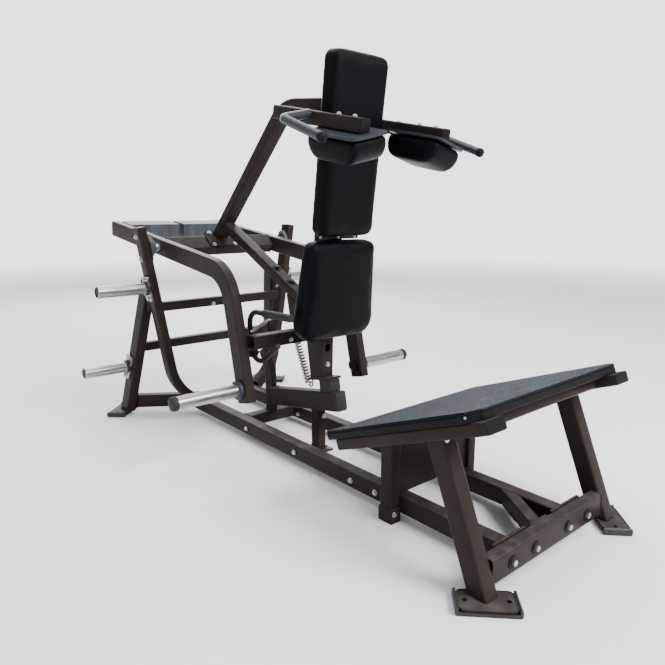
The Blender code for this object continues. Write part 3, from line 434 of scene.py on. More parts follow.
def seat_vinyl():
    """Near-black blue upholstery vinyl with a fine leather grain and broad, soft shine."""
    f = Finish("seat_vinyl")
    base = Vector(colours().vinyl)
    grain = f.cells(820, "DISTANCE_TO_EDGE")
    pores = f.noise(1500, 2)
    drift = f.noise(9, 3)
    tone = f.mix(drift.between(0.3, 0.7), base * 0.85, base * 1.2)
    tone = f.mix(grain.between(0.0, 0.12), base * 0.6, tone)
    roughness = 0.36 + (drift - 0.5) * 0.12 - grain.between(0.0, 0.2) * 0.04
    bumps = ((f.noise(11, 2), 0.0005), (grain.between(0.0, 0.25), 0.00012), (pores, 0.00004))
    return f.done(tone, roughness, bumps, Specular_IOR_Level=0.06)


def slate_coat():
    """Blue-grey coat of the counterweights over rough cast steel."""
    f = Finish("slate_coat")
    base = Vector(colours().weight)
    runs = f.noise(24, 5, f.scaled((1.0, 1.0, 0.25)), 0.6)
    cast = f.noise(260, 3)
    tone = f.mix(runs.between(0.3, 0.75), base * 0.6, base * 1.3)
    return f.done(tone, 0.42 + cast * 0.15, ((runs, 0.0006), (cast, 0.00030)))


FINISHES = {
    "paint": powder_coat,
    "chrome": lambda: sleeve_steel("sleeve_steel"),
    "zinc": zinc_plate,
    "rubber": moulded_rubber,
    "shoe": shoe_rubber,
    "grit": deck_grit,
    "vinyl": seat_vinyl,
    "weight": slate_coat,
    "grip": grip_rubber,
    "plastic": black_plastic,
    "black": black_oxide,
    "loading_sleeve": lambda: sleeve_steel("loading_sleeve", 0.3185),
    "upper_sleeve": lambda: sleeve_steel("upper_sleeve", 0.3815, UPPER_HORN),
    "lower_sleeve": lambda: sleeve_steel("lower_sleeve", 0.4185, LOWER_HORN),
    "yoke": yoke_coat,
    "coil": coil_steel,
}

# The finishes of nodes that look different from their slot: right and left pairs, then single nodes
PAIR_FINISHES = {
    "front_foot": "shoe", "rear_foot": "shoe", "handle": "grip", "pivot_bearing": "weight",
    "shoulder_beam": "yoke", "loading_horn": "loading_sleeve",
    "storage_horn_upper": "upper_sleeve", "storage_horn_lower": "lower_sleeve",
}
NODE_FINISHES = {f"{pair}_{side}": finish for pair, finish in PAIR_FINISHES.items() for side, _ in SIDES}
NODE_FINISHES.update(release_grip="rubber", deck_board="plastic")

# Degrees: where an edge of a piece or of a fastener is sharp, a node's face flat and a node's edge rounded
PIECE_SHARP = 40
HEAD_SHARP = 28
FLAT_WITHIN = 0.6
ROUNDED_ABOVE = 50


@cache
def finish_of(name):
    """The finish of that name, made the first time it is asked for."""
    return FINISHES[name]()


def linked(name, data):
    """A new object of some data, in the scene."""
    obj = bpy.data.objects.new(name, data)
    bpy.context.collection.objects.link(obj)
    return obj


def mesh_of(name, shape, sharp=None):
    """A bmesh as a mesh, shaded smooth below an angle in degrees where one is given."""
    data = bpy.data.meshes.new(name)
    shape.to_mesh(data)
    shape.free()
    if sharp:
        data.shade_smooth()
        data.set_sharp_from_angle(angle=radians(sharp))
    return data


def modify(obj, name, kind, **settings):
    """Puts a modifier with those settings on an object."""
    return put(obj.modifiers.new(name, kind), **settings)


def place_piece(obj, finish, body):
    """Gives a piece its finish, as its one material, and its body."""
    obj.data.materials.clear()
    obj.data.materials.append(finish_of(finish))
    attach(obj, body)


def add_piece(name, shape, finish, body):
    """Links a bmesh in world places as a piece."""
    bmesh.ops.recalc_face_normals(shape, faces=shape.faces)
    place_piece(linked(name, mesh_of(name, shape, PIECE_SHARP)), finish, body)


def node_shape(node):
    """A copy of a CAD node's mesh with its loose triangles joined."""
    shape = bmesh.new()
    shape.from_mesh(frame["nodes"][node].data)
    bmesh.ops.remove_doubles(shape, verts=shape.verts, dist=JOIN_WITHIN)
    return shape


def seat_on(node, start, direction):
    """Where a line from a start point meets a CAD node, and the way the surface faces there."""
    shape = node_shape(node)
    place, normal = BVHTree.FromBMesh(shape).ray_cast(start, Vector(direction).normalized())[:2]
    shape.free()
    if place is None:
        raise RuntimeError(f"nothing of {node} lies along that line from {tuple(start)}")
    return place, normal


def end_outline(node, toward, near=None):
    """The outline and facing of a node's end that faces a way: the farthest, or the nearest to a place."""
    toward = Vector(toward).normalized()
    shape = node_shape(node)
    shape.normal_update()
    facing = [face for face in shape.faces if face.normal.dot(toward) > FACING and face.calc_area() > SLIVER]
    if near:
        end = min(facing, key=lambda face: (face.calc_center_median() - near).length)
    else:
        end = max(facing, key=lambda face: (face.calc_center_median() + face.normal * TILT_WORTH).dot(toward))
    normal, height = end.normal.copy(), end.normal.dot(end.calc_center_median())
    level = [
        face for face in facing
        if face.normal.dot(normal) > FLUSH
        and abs(face.calc_center_median().dot(normal) - height) < SAME_PLANE
    ]
    corners = [vert.co.copy() for vert in {vert for face in level for vert in face.verts}]
    shape.free()
    across = normal.orthogonal().normalized()
    up = normal.cross(across)
    hull = convex_hull_2d([(corner.dot(across), corner.dot(up)) for corner in corners])
    return [corners[i] for i in hull], normal


def tree_of(name, inputs):
    """A Geometry Nodes tree with a geometry input, named inputs and a geometry output."""
    group = bpy.data.node_groups.new(name, "GeometryNodeTree")
    group.interface.new_socket("Geometry", in_out="INPUT", socket_type="NodeSocketGeometry")
    for label, kind in inputs:
        group.interface.new_socket(label, in_out="INPUT", socket_type="NodeSocket" + kind)
    group.interface.new_socket("Geometry", in_out="OUTPUT", socket_type="NodeSocketGeometry")
    tree = Tree(group)
    source = group.nodes.new("NodeGroupInput")
    given = {socket.name: Value(tree, socket) for socket in source.outputs if socket.name}
    return group, tree, given


def use_tree(obj, group, **inputs):
    """Puts a tree on an object and sets its inputs by name."""
    modifier = modify(obj, group.name, "NODES", node_group=group)
    for item in group.interface.items_tree:
        if item.in_out == "INPUT" and item.name in inputs:
            modifier[item.identifier] = inputs[item.name]


def baked(obj, name):
    """Replaces an object that carries modifiers with the plain mesh that they make."""
    graph = bpy.context.evaluated_depsgraph_get()
    data = bpy.data.meshes.new_from_object(obj.evaluated_get(graph), depsgraph=graph)
    data.name = name
    bpy.data.objects.remove(obj)
    return linked(name, data)


def clean_edges_tree():
    """Joins a node's loose triangles and lets its shading follow its shape."""
    group, tree, given = tree_of("clean_edges", ())
    values = {"Geometry": given["Geometry"], "Distance": JOIN_WITHIN}
    merged = tree.node("GeometryNodeMergeByDistance", values)
    values = {"Mesh": merged, "Remove Custom": True, "Edge Sharpness": False, "Face Sharpness": False}
    plain = tree.node("GeometryNodeSetMeshNormal", values, mode="SHARPNESS")
    smooth = tree.node("GeometryNodeSetShadeSmooth", {"Geometry": plain})
    tree.node("NodeGroupOutput", {"Geometry": smooth})
    return group


def dress_node(obj, group, finish):
    """Gives a CAD node its finish, rounds its sharp edges and smooths its shading."""
    for slot in obj.material_slots:
        slot.material = finish_of(finish)
    use_tree(obj, group)
    modify(obj, "flat_faces", "DECIMATE", decimate_type="DISSOLVE", angle_limit=radians(FLAT_WITHIN))
    modify(
        obj, "edge_rounding", "BEVEL", width=sizes().edge_round, segments=2, limit_method="ANGLE",
        angle_limit=radians(ROUNDED_ABOVE), use_clamp_overlap=True,
    )
    modify(obj, "even_shading", "WEIGHTED_NORMAL", keep_sharp=True)


def turned_shape(profile, place, axis, steps=24):
    """Spins (along, radius) pairs about an axis through a place."""
    shape = bmesh.new()
    corners = [shape.verts.new((radius, 0, along)) for along, radius in profile]
    edges = [shape.edges.new(pair) for pair in zip(corners, corners[1:])]
    bmesh.ops.spin(
        shape, geom=corners + edges, cent=(0, 0, 0), axis=(0, 0, 1),
        angle=2 * pi, steps=steps, use_merge=True, use_duplicate=False,
    )
    bmesh.ops.remove_doubles(shape, verts=shape.verts, dist=1e-6)
    bmesh.ops.dissolve_degenerate(shape, edges=shape.edges, dist=1e-6)
    turn = Z.rotation_difference(Vector(axis)).to_matrix().to_4x4()
    bmesh.ops.transform(shape, matrix=Matrix.Translation(place) @ turn, verts=shape.verts)
    return shape


def join_shapes(shapes):
    """Puts several bmeshes into one."""
    whole = bmesh.new()
    for shape in shapes:
        data = mesh_of("part", shape)
        whole.from_mesh(data)
        bpy.data.meshes.remove(data)
    return whole


def close_rings(shape, rings):
    """Faces round a stack of rings of vertices and over its two ends."""
    for low, high in zip(rings, rings[1:]):
        for i in range(len(low)):
            j = (i + 1) % len(low)
            shape.faces.new((low[i], low[j], high[j], high[i]))
    shape.faces.new(rings[0])
    shape.faces.new(rings[-1])


# Fasteners of unit size: the sides of the head, its (along, radius) pairs, and whether a washer lies under it
WASHER = ((0, 0), (0, 0.72), (0.12, 0.72), (0.14, 0.70), (0.14, 0.0))
WASHER_STEPS = 24
WASHER_TOP = 0.13
HEADS = {
    "hex": (6, ((0, 0), (0, 0.55), (0.36, 0.55), (0.42, 0.48), (0.42, 0.0)), True),
    "dome": (20, ((0, 0), (0, 0.60), (0.08, 0.60), (0.22, 0.50), (0.34, 0.31), (0.38, 0.0)), True),
    "nut": (
        6, ((0, 0), (0, 0.55), (0.40, 0.55), (0.46, 0.46), (0.46, 0.26), (0.62, 0.24), (0.64, 0.0)), True,
    ),
    "stud": (6, ((0, 0), (0, 0.55), (0.58, 0.55), (0.64, 0.48), (0.64, 0.0)), False),
    "disc": (28, ((0, 0), (0, 0.50), (0.05, 0.50), (0.065, 0.48), (0.065, 0.0)), False),
}


def head_mesh(kind):
    """One fastener of unit size, seated at the origin and facing +Z."""
    sides, profile, washed = HEADS[kind]
    base = Vector((0, 0, 0))
    lift = WASHER_TOP if washed else 0
    shapes = [turned_shape([(along + lift, radius) for along, radius in profile], base, Z, sides)]
    if washed:
        shapes.append(turned_shape(WASHER, base, Z, WASHER_STEPS))
    shape = join_shapes(shapes)
    bmesh.ops.recalc_face_normals(shape, faces=shape.faces)
    return mesh_of(kind + "_head", shape, HEAD_SHARP)


def fastener_tree():
    """Stands a head on every point, turned to the point's own facing and scaled by its own size."""
    group, tree, given = tree_of("fasteners", (("Head", "Object"), ("Finish", "Material")))
    head = tree.node("GeometryNodeObjectInfo", {"Object": given["Head"]}, out="Geometry")
    facing = tree.node("GeometryNodeInputNamedAttribute", {"Name": "facing"}, data_type="FLOAT_VECTOR")
    size = tree.node("GeometryNodeInputNamedAttribute", {"Name": "size"}, data_type="FLOAT")
    turn = tree.node("FunctionNodeAlignRotationToVector", {"Vector": facing})
    values = {"Points": given["Geometry"], "Instance": head, "Rotation": turn, "Scale": size}
    stood = tree.node("GeometryNodeInstanceOnPoints", values)
    whole = tree.node("GeometryNodeRealizeInstances", {"Geometry": stood})
    coated = tree.node("GeometryNodeSetMaterial", {"Geometry": whole, "Material": given["Finish"]})
    tree.node("NodeGroupOutput", {"Geometry": coated})
    return group


def stand_fasteners(name, kind, finish, body, seats, group):
    """Stands fasteners of one kind on (place, facing, size) seats."""
    points = bpy.data.meshes.new(name)
    points.from_pydata([place for place, _, _ in seats], [], [])
    points.attributes.new("facing", "FLOAT_VECTOR", "POINT")
    points.attributes.new("size", "FLOAT", "POINT")
    for index, (_, normal, across) in enumerate(seats):
        points.attributes["facing"].data[index].vector = normal
        points.attributes["size"].data[index].value = across
    carrier = linked(name + "_points", points)
    head = linked(kind + "_head", head_mesh(kind))
    use_tree(carrier, group, Head=head, Finish=finish_of(finish))
    obj = baked(carrier, name)
    bpy.data.objects.remove(head)
    place_piece(obj, finish, body)


# Fasteners' heads and finishes
HEX = ("hex", "zinc")
NUT = ("nut", "zinc")
DOME = ("dome", "zinc")
STUD = ("stud", "zinc")
BLACK_STUD = ("stud", "black")
DISC = ("disc", "plastic")
COVER = ("dome", "plastic")

# Sizes that scale a unit fastener
PIN = 0.0045
SCREW = 0.0085
M8 = 0.0115
M10 = 0.0135
M12 = 0.0165
RAIL_WASHER = 0.026
BIG_WASHER = 0.037
INNER_DOME = 0.036


def frame_seats():
    """The frame's fasteners as (style, node, start, direction, size) rows."""
    for x in (-0.188, -0.083, 0.083, 0.188):
        start = at(x, -0.2, 0.064)
        yield DISC, "front_crossbar", start, Y, BIG_WASHER
        yield STUD, "front_crossbar", start, Y, M12
    for name, s in SIDES:
        inward = -X * s
        rail, upright = "base_rail_" + name, "upright_" + name
        for y in (1.292, 0.962, 0.648, 0.531):
            yield HEX, rail, at(s * 0.3, y, 0.050), inward, M10
        for y in (1.292, 0.962):
            yield DISC, rail, at(s * 0.3, y, 0.050), inward, RAIL_WASHER
        yield HEX, rail, at(s * 0.05, 1.310, 0.045), X * s, M10
        yield DOME, "front_leg_" + name, at(s * 0.312, -0.2, 0.385), Y, M8
        yield HEX, "deck_post_" + name, at(s * 0.1965, 0.2, 0.030), Y, M8
        yield HEX, "deck_side_tube_" + name, at(s * 0.3075, 0.480, 0.05), Z, M8
        yield DOME, "deck_board", at(s * 0.5, 0.056, 0.4705), inward, PIN
        for z in (-0.047, 0.047):
            yield NUT, upright, at(s * 0.6, PIVOT[0], PIVOT[1] + z), inward, M12
            upper = UPPER_HORN[0], UPPER_HORN[1] + z * 0.94
            yield HEX, "storage_horn_upper_" + name, at(s * 0.6, *upper), inward, M10
            lower = LOWER_HORN[0] - z * 0.33, LOWER_HORN[1] + z * 0.89
            yield HEX, "storage_horn_lower_" + name, at(s * 0.7, *lower), inward, M10
            yield NUT, upright, at(s * 0.2, *upper), -inward, M10
    yield HEX, "stop_front_post", at(0.008, 0.8, 0.143), Y, M10
    for x in (-0.029, 0.029):
        yield HEX, "stop_front_post", at(x, 0.988, 0.1), -Z, M10
    yield HEX, "stop_rear_post", at(0.0, 1.5, 0.245), -Y, M10
    yield HEX, "upper_crossbar", at(-0.061, 1.6, 0.512), Y, M10


def lever_seats():
    """The lever's fasteners, in the same rows."""
    for x in (-0.053, 0.053):
        for reach in (-0.017, 0.032):
            start = at(x, PIVOT[0] - 0.2 + reach, PIVOT[1] + 0.2 + reach)
            yield HEX, "mast", start, (0, 1, -1), M10
    for y in (1.289, 1.192):
        yield DISC, "centre_strut", at(0, y, 0.9), -Z, BIG_WASHER
        yield BLACK_STUD, "centre_strut", at(0, y, 0.9), -Z, M12
    for x in (-0.10, 0.10):
        yield HEX, "lever_tie", at(x, 0.9, 0.455), Y, M10
    yield HEX, "pad_column", at(0, 0.8, 0.360), Y, M10
    for name, s in SIDES:
        for y in (0.622, 0.694):
            yield HEX, "shoulder_beam_" + name, at(s * BEAM_X, y, 1.5), -Z, M8
        yield COVER, "side_arm_" + name, at(s * 0.1, *LOADING_HORN), X * s, INNER_DOME
    yield HEX, "side_arm_right", at(0, *RELEASE_PIVOT), -X, M8


def plug_shape(loop, out, thick, inset=0.0008):
    """A push-in tube plug: a flange on the tube's end with a rounded rim and a slight crown."""
    shape = bmesh.new()
    middle = sum(loop, Vector()) / len(loop)
    arms = [point - middle for point in loop]
    levels = ((inset, -0.0004), (inset, thick * 0.55), (inset + 0.0012, thick * 0.9), (inset + 0.0035, thick))
    close_rings(shape, [
        [shape.verts.new(middle + arm * (1 - draw / arm.length) + out * lift) for arm in arms]
        for draw, lift in levels
    ])
    return shape


# The open tube ends: a node, the way its end faces and, for the nearest end rather than the farthest, a place
PLUGGED_ENDS = {
    "frame": [
        *(("upright_" + name, (s * 0.17, 0, 1)) for name, s in SIDES),
        *(("deck_side_tube_" + name, way) for name, _ in SIDES for way in ((0, 1, -0.38), (0, -0.93, 0.36))),
    ],
    "lever": [
        *(("side_arm_" + name, way) for way in ((0, 1, 0.13), (0, -0.2, -1)) for name, _ in SIDES),
        *(("shoulder_beam_" + name, (0, -1, -0.3), at(s * BEAM_X, 0.580, 1.190)) for name, s in SIDES),
        *(("shoulder_beam_" + name, (0, 1, 0.2)) for name, _ in SIDES),
    ],
}


def weld_tree():
    """Runs a rippled bead of weld along every line of a mesh."""
    group, tree, given = tree_of("weld_bead", (("Width", "Float"), ("Finish", "Material")))
    line = tree.node("GeometryNodeMeshToCurve", {"Mesh": given["Geometry"]})
    line = tree.node("GeometryNodeResampleCurve", {"Curve": line, "Length": WELD_RIPPLE}, mode="LENGTH")
    index = tree.node("GeometryNodeInputIndex")
    swell = 1.0 + (index * (2 * pi / 3)).sine() * 0.10
    ring = tree.node("GeometryNodeCurvePrimitiveCircle", {"Resolution": 6, "Radius": given["Width"] * 0.5})
    bead = tree.node("GeometryNodeCurveToMesh", {"Curve": line, "Profile Curve": ring, "Scale": swell})
    bead = tree.node("GeometryNodeSetShadeSmooth", {"Geometry": bead})
    coated = tree.node("GeometryNodeSetMaterial", {"Geometry": bead, "Material": given["Finish"]})
    tree.node("NodeGroupOutput", {"Geometry": coated})
    return group


def both_ends(*nodes):
    """The (node, way) rows for the two ends of tubes that lie across the machine."""
    return [(node, way) for node in nodes for way in (X, -X)]


WELDED_ENDS = {
    "frame": [
        *both_ends("front_crossbar", "upper_crossbar", "lower_crossbar"),
        ("upright_right", X), ("upright_left", -X),
        ("floor_brace_right", (-1, 0.6, 0)), ("floor_brace_left", (1, 0.6, 0)),
        ("front_leg_right", (0, -0.3, 1)), ("front_leg_left", (0, -0.3, 1)),
        *both_ends("stop_cross_tube"), ("stop_front_post", (0, 0.2, 1)),
        ("stop_beam", Y), *both_ends("deck_front_tube"),
    ],
    "lever": [
        *both_ends("lever_cross_tube", "lever_tie"), ("mast", -Y),
        ("centre_strut", (0, 1, 0.4)), ("centre_strut", -Y),
        *both_ends("yoke_cross_tube"),
    ],
}
# How deep a bead's middle lies behind the end's face, and the steps along it, three to a ripple
WELD_SUNK = 0.0006
WELD_RIPPLE = 0.0022


def rounded_outline(corners, steps=10):
    """An outline through (x, y, radius) corners, anticlockwise."""
    outline = []
    count = len(corners)
    for i, (x, y, radius) in enumerate(corners):
        here = Vector((x, y))
        before = (here - Vector(corners[i - 1][:2])).normalized()
        after = (Vector(corners[(i + 1) % count][:2]) - here).normalized()
        turn = before.angle(after)
        start = here - before * radius * tan(turn / 2)
        inward = (after - before * cos(turn)).normalized()
        for step in range(steps + 1):
            angle = turn * step / steps
            outline.append(start + before * radius * sin(angle) + inward * radius * (1 - cos(angle)))
    return outline


def pad_shape(outline, levels, place):
    """A closed solid from an outline drawn in by an inset at each (inset, depth) level."""
    shape = bmesh.new()
    rings = []
    for inset, depth in levels:
        ring = []
        for i, point in enumerate(outline):
            along = (outline[(i + 1) % len(outline)] - outline[i - 1]).normalized()
            spot = point + Vector((-along.y, along.x)) * inset
            ring.append(shape.verts.new((spot.x, spot.y, depth)))
        rings.append(ring)
    close_rings(shape, rings)
    bmesh.ops.recalc_face_normals(shape, faces=shape.faces)
    bmesh.ops.triangulate(shape, faces=[face for face in shape.faces if len(face.verts) > 4])
    bmesh.ops.transform(shape, matrix=place, verts=shape.verts)
    return shape


def swell_by_cloth(obj, point, normal):
    """Fills a shape with air under a cloth skin, pinned near its board, and caps how far each point moves."""
    reach = sizes().pad_swell
    rest = [vert.co.copy() for vert in obj.data.vertices]
    pinned = [i for i, place in enumerate(rest) if (place - point).dot(normal) < BOARD_REACH]
    obj.vertex_groups.new(name="board").add(pinned, 1.0, "REPLACE")
    cloth = obj.modifiers.new("cloth", "CLOTH")
    put(
        cloth.settings, quality=6, mass=0.3, tension_stiffness=20, compression_stiffness=20,
        shear_stiffness=10, bending_stiffness=12, use_pressure=True,
        uniform_pressure_force=sizes().pad_pressure, vertex_group_mass="board",
    )
    cloth.settings.effector_weights.gravity = 0
    put(cloth.point_cache, frame_start=1, frame_end=CLOTH_FRAMES)
    scene = bpy.context.scene
    for step in range(1, CLOTH_FRAMES + 1):
        scene.frame_set(step)
    graph = bpy.context.evaluated_depsgraph_get()
    moved = [vert.co.copy() for vert in obj.evaluated_get(graph).data.vertices]
    obj.modifiers.remove(cloth)
    scene.frame_set(1)
    for vert, before, after in zip(obj.data.vertices, rest, moved):
        step = after - before
        if step.length > reach:
            step *= reach / step.length
        vert.co = before + step
    obj.vertex_groups.clear()


def upholster(name, shape, node, body, board):
    """A padded piece in a CAD pad's place. The skin near its board, a point and a normal, stays put."""
    obj = linked("pad_base", mesh_of("pad", shape))
    modify(obj, "even_mesh", "REMESH", mode="VOXEL", voxel_size=sizes().pad_voxel)
    modify(obj, "relax", "SMOOTH", iterations=4, factor=0.5)
    obj = baked(obj, "pad_skin")
    swell_by_cloth(obj, *board)
    modify(obj, "even_skin", "SMOOTH", iterations=10, factor=0.5)
    obj = baked(obj, "pad_skin")
    obj.name = obj.data.name = name
    obj.data.shade_smooth()
    modify(obj, "fine_skin", "SUBSURF", levels=1, render_levels=1)
    place_piece(obj, "vinyl", body)
    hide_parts(node)


def column_frame(z):
    """Axes for a pad on the column's front: its height lies along the column and its depth grows forward."""
    up = Vector((0, -COLUMN_LEAN, 1)).normalized()
    out = up.cross(X) * -1 if up.cross(X).y > 0 else up.cross(X)
    across = up.cross(out)
    turn = Matrix((across, up, out)).transposed().to_4x4()
    front = at(0, COLUMN_LINE[0] - COLUMN_LEAN * (z - COLUMN_LINE[1]), z)
    return Matrix.Translation(front + out * GAP) @ turn, up, out


def edge_levels(depth, edge, back=0.004, steps=6):
    """Insets and depths of a pad's side: a small turn at the board, the side band and a round front edge."""
    levels = [(back, 0.0), (back * 0.3, back * 0.35), (0.0, back)]
    for step in range(steps + 1):
        angle = pi / 2 * step / steps
        levels.append((edge * (1 - cos(angle)), depth - edge + edge * sin(angle)))
    return levels


# Half the floor's side, and the distances from the machine over which it turns into the backdrop
FLOOR_HALF = 30
FLOOR_FADE = (4.0, 11.0)

# Name, place, size, share of the power and colour
LIGHTS = (
    ("key", (0.9, -4.4, 3.8), 2.4, 2.1, (1.0, 0.98, 0.95)),
    ("fill", (-3.8, -0.6, 2.2), 3.5, 0.06, (0.98, 0.98, 1.0)),
    ("top", (0.2, 0.2, 5.2), 3.6, 0.8, (0.97, 0.98, 1.0)),
    ("back", (1.6, 4.0, 3.0), 3.8, 1.0, (0.95, 0.97, 1.0)),
)
LIGHT_AIM = Vector((0, 0, 0.5))

# The sky's colour, and its light at the horizon as a share of that overhead
SKY_COLOUR = (0.93, 0.965, 1.0)
HORIZON_SHARE = 0.30


class MACHINE_OT_stage(bpy.types.Operator):
    """Builds the floor, the backdrop's light and the camera"""

    bl_idname = "machine.stage"
    bl_label = "Stage"

    def execute(self, context):
        settings = context.scene.machine_stage
        build_floor(settings)
        build_lights(settings)
        build_camera(settings)
        return {"FINISHED"}


def build_floor(settings):
    """A pale floor that runs up into a backdrop."""
    shape = bmesh.new()
    bmesh.ops.create_grid(shape, x_segments=2, y_segments=2, size=FLOOR_HALF)
    floor = linked("floor", mesh_of("floor", shape))
    f = Finish("pale_floor")
    base = Vector(settings.floor_colour)
    cloud = f.noise(1.5, 2)
    far = f.node("ShaderNodeVectorMath", {0: f.place}, operation="LENGTH").between(*FLOOR_FADE)
    tone = f.mix(far, f.mix(cloud, base * 0.985, base * 1.01), (0.0, 0.0, 0.0))
    glow = f.mix(far, (0.0, 0.0, 0.0), (1.0, 1.0, 1.0))
    floor.data.materials.append(f.done(tone, 0.75, Emission_Color=glow, Emission_Strength=settings.backdrop))


def build_lights(settings):
    """Soft area lights that aim at the machine, and a pale sky."""
    for name, place, size, share, colour in LIGHTS:
        data = bpy.data.lights.new(name + "_light", "AREA")
        put(data, shape="SQUARE", size=size, energy=settings.light_power * share, color=colour)
        turn = (LIGHT_AIM - Vector(place)).to_track_quat("-Z", "Y")
        light = linked(name + "_light", data)
        put(light, location=place, rotation_mode="QUATERNION", rotation_quaternion=turn)
    world = bpy.data.worlds.new("sky")
    world.use_nodes = True
    tree = Tree(world.node_tree)
    way = tree.node("ShaderNodeTexCoord", out="Generated")
    height = tree.node("ShaderNodeSeparateXYZ", {0: way}, out="Z").between(-0.1, 0.9)
    strength = (HORIZON_SHARE + height * (1 - HORIZON_SHARE)) * settings.sky_strength
    lit = tree.node("ShaderNodeBackground", {"Color": SKY_COLOUR, "Strength": strength})
    shown = tree.node("ShaderNodeBackground", {"Color": (1, 1, 1), "Strength": settings.backdrop})
    seen = tree.node("ShaderNodeLightPath", out="Is Camera Ray")
    sky = tree.node("ShaderNodeMixShader", {0: seen, 1: lit, 2: shown})
    tree.node("ShaderNodeOutputWorld", {"Surface": sky})
    bpy.context.scene.world = world


CAMERA_PLACE = Vector((-1.430, -1.839, 0.935))
CAMERA_RIGHT = Vector((0.763, -0.6466, 0.0))
CAMERA_FORWARD = Vector((0.634, 0.748, -0.198))
SENSOR = 36.0


def build_camera(settings):
    """The camera at the photograph's view."""
    data = put(bpy.data.cameras.new("camera"), sensor_width=SENSOR, lens=settings.lens)
    camera = linked("camera", data)
    forward = CAMERA_FORWARD.normalized()
    right = (CAMERA_RIGHT - forward * CAMERA_RIGHT.dot(forward)).normalized()
    up = right.cross(forward)
    turn = Matrix((right, up, -forward)).transposed().to_4x4()
    camera.matrix_world = Matrix.Translation(CAMERA_PLACE) @ turn
    bpy.context.scene.camera = camera


class MACHINE_OT_finishes(bpy.types.Operator):
    """Gives every rigid node of the frame its finish and rounded edges"""

    bl_idname = "machine.finishes"
    bl_label = "Finishes"

    def execute(self, context):
        group = clean_edges_tree()
        for name, obj in frame["nodes"].items():
            slot = obj.material_slots[0].material.name.split(".")[0]
            if slot != "vinyl":
                dress_node(obj, group, NODE_FINISHES.get(name, slot))
        return {"FINISHED"}


class MACHINE_OT_cushions(bpy.types.Operator):
    """Upholsters the back and hip pads"""

    bl_idname = "machine.cushions"
    bl_label = "Cushions"

    def execute(self, context):
        swell = sizes().pad_swell * 0.5
        for name, z, low, high, length, low_corner, high_corner, depth in CUSHIONS:
            place, _, out = column_frame(z)
            outline = rounded_outline([
                (-low + swell, swell, low_corner), (low - swell, swell, low_corner),
                (high - swell, length - swell, high_corner), (-high + swell, length - swell, high_corner),
            ])
            shape = pad_shape(outline, edge_levels(depth - swell, CUSHION_EDGE), place)
            board = (place.translation, out)
            upholster(name + "_cushion", shape, name + "_pad", "lever", board)
        return {"FINISHED"}


class MACHINE_OT_shoulder_pads(bpy.types.Operator):
    """Upholsters the shoulder pads, drawn from the CAD pads' own places"""

    bl_idname = "machine.shoulder_pads"
    bl_label = "Shoulder pads"

    def execute(self, context):
        shrink = 1 - sizes().pad_swell * 0.5 / SHOULDER_HALF
        for name, s in SIDES:
            node = "shoulder_pad_" + name
            shape = node_shape(node)
            loop, normal = end_outline(node, (s * 0.24, 0.2, 0.95))
            middle = sum(loop, Vector()) / len(loop)
            for vert in shape.verts:
                arm = vert.co - middle
                height = normal * arm.dot(normal)
                vert.co = middle + (arm - height) * shrink + height * (shrink + 0.02)
            upholster("shoulder_cushion_" + name, shape, node, "lever", (middle, -normal))
        return {"FINISHED"}


class MACHINE_OT_fasteners(bpy.types.Operator):
    """Stands bolts, nuts and screws on their seats"""

    bl_idname = "machine.fasteners"
    bl_label = "Fasteners"

    def execute(self, context):
        group = fastener_tree()
        for body, rows in (("frame", frame_seats()), ("lever", lever_seats())):
            seats = {}
            for style, node, start, direction, size in rows:
                seats.setdefault(style, []).append((*seat_on(node, start, direction), size))
            for kind, finish in sorted(seats):
                stand_fasteners(f"{finish}_{kind}_{body}", kind, finish, body, seats[kind, finish], group)
        place, _, out = column_frame(sum(BRACKET_Z) / 2)
        spots = [(place @ Vector((x, 0, BRACKET_THICK)), out, SCREW) for x in BRACKET_SCREWS]
        stand_fasteners("bracket_screws", "dome", "zinc", "lever", spots, group)
        return {"FINISHED"}


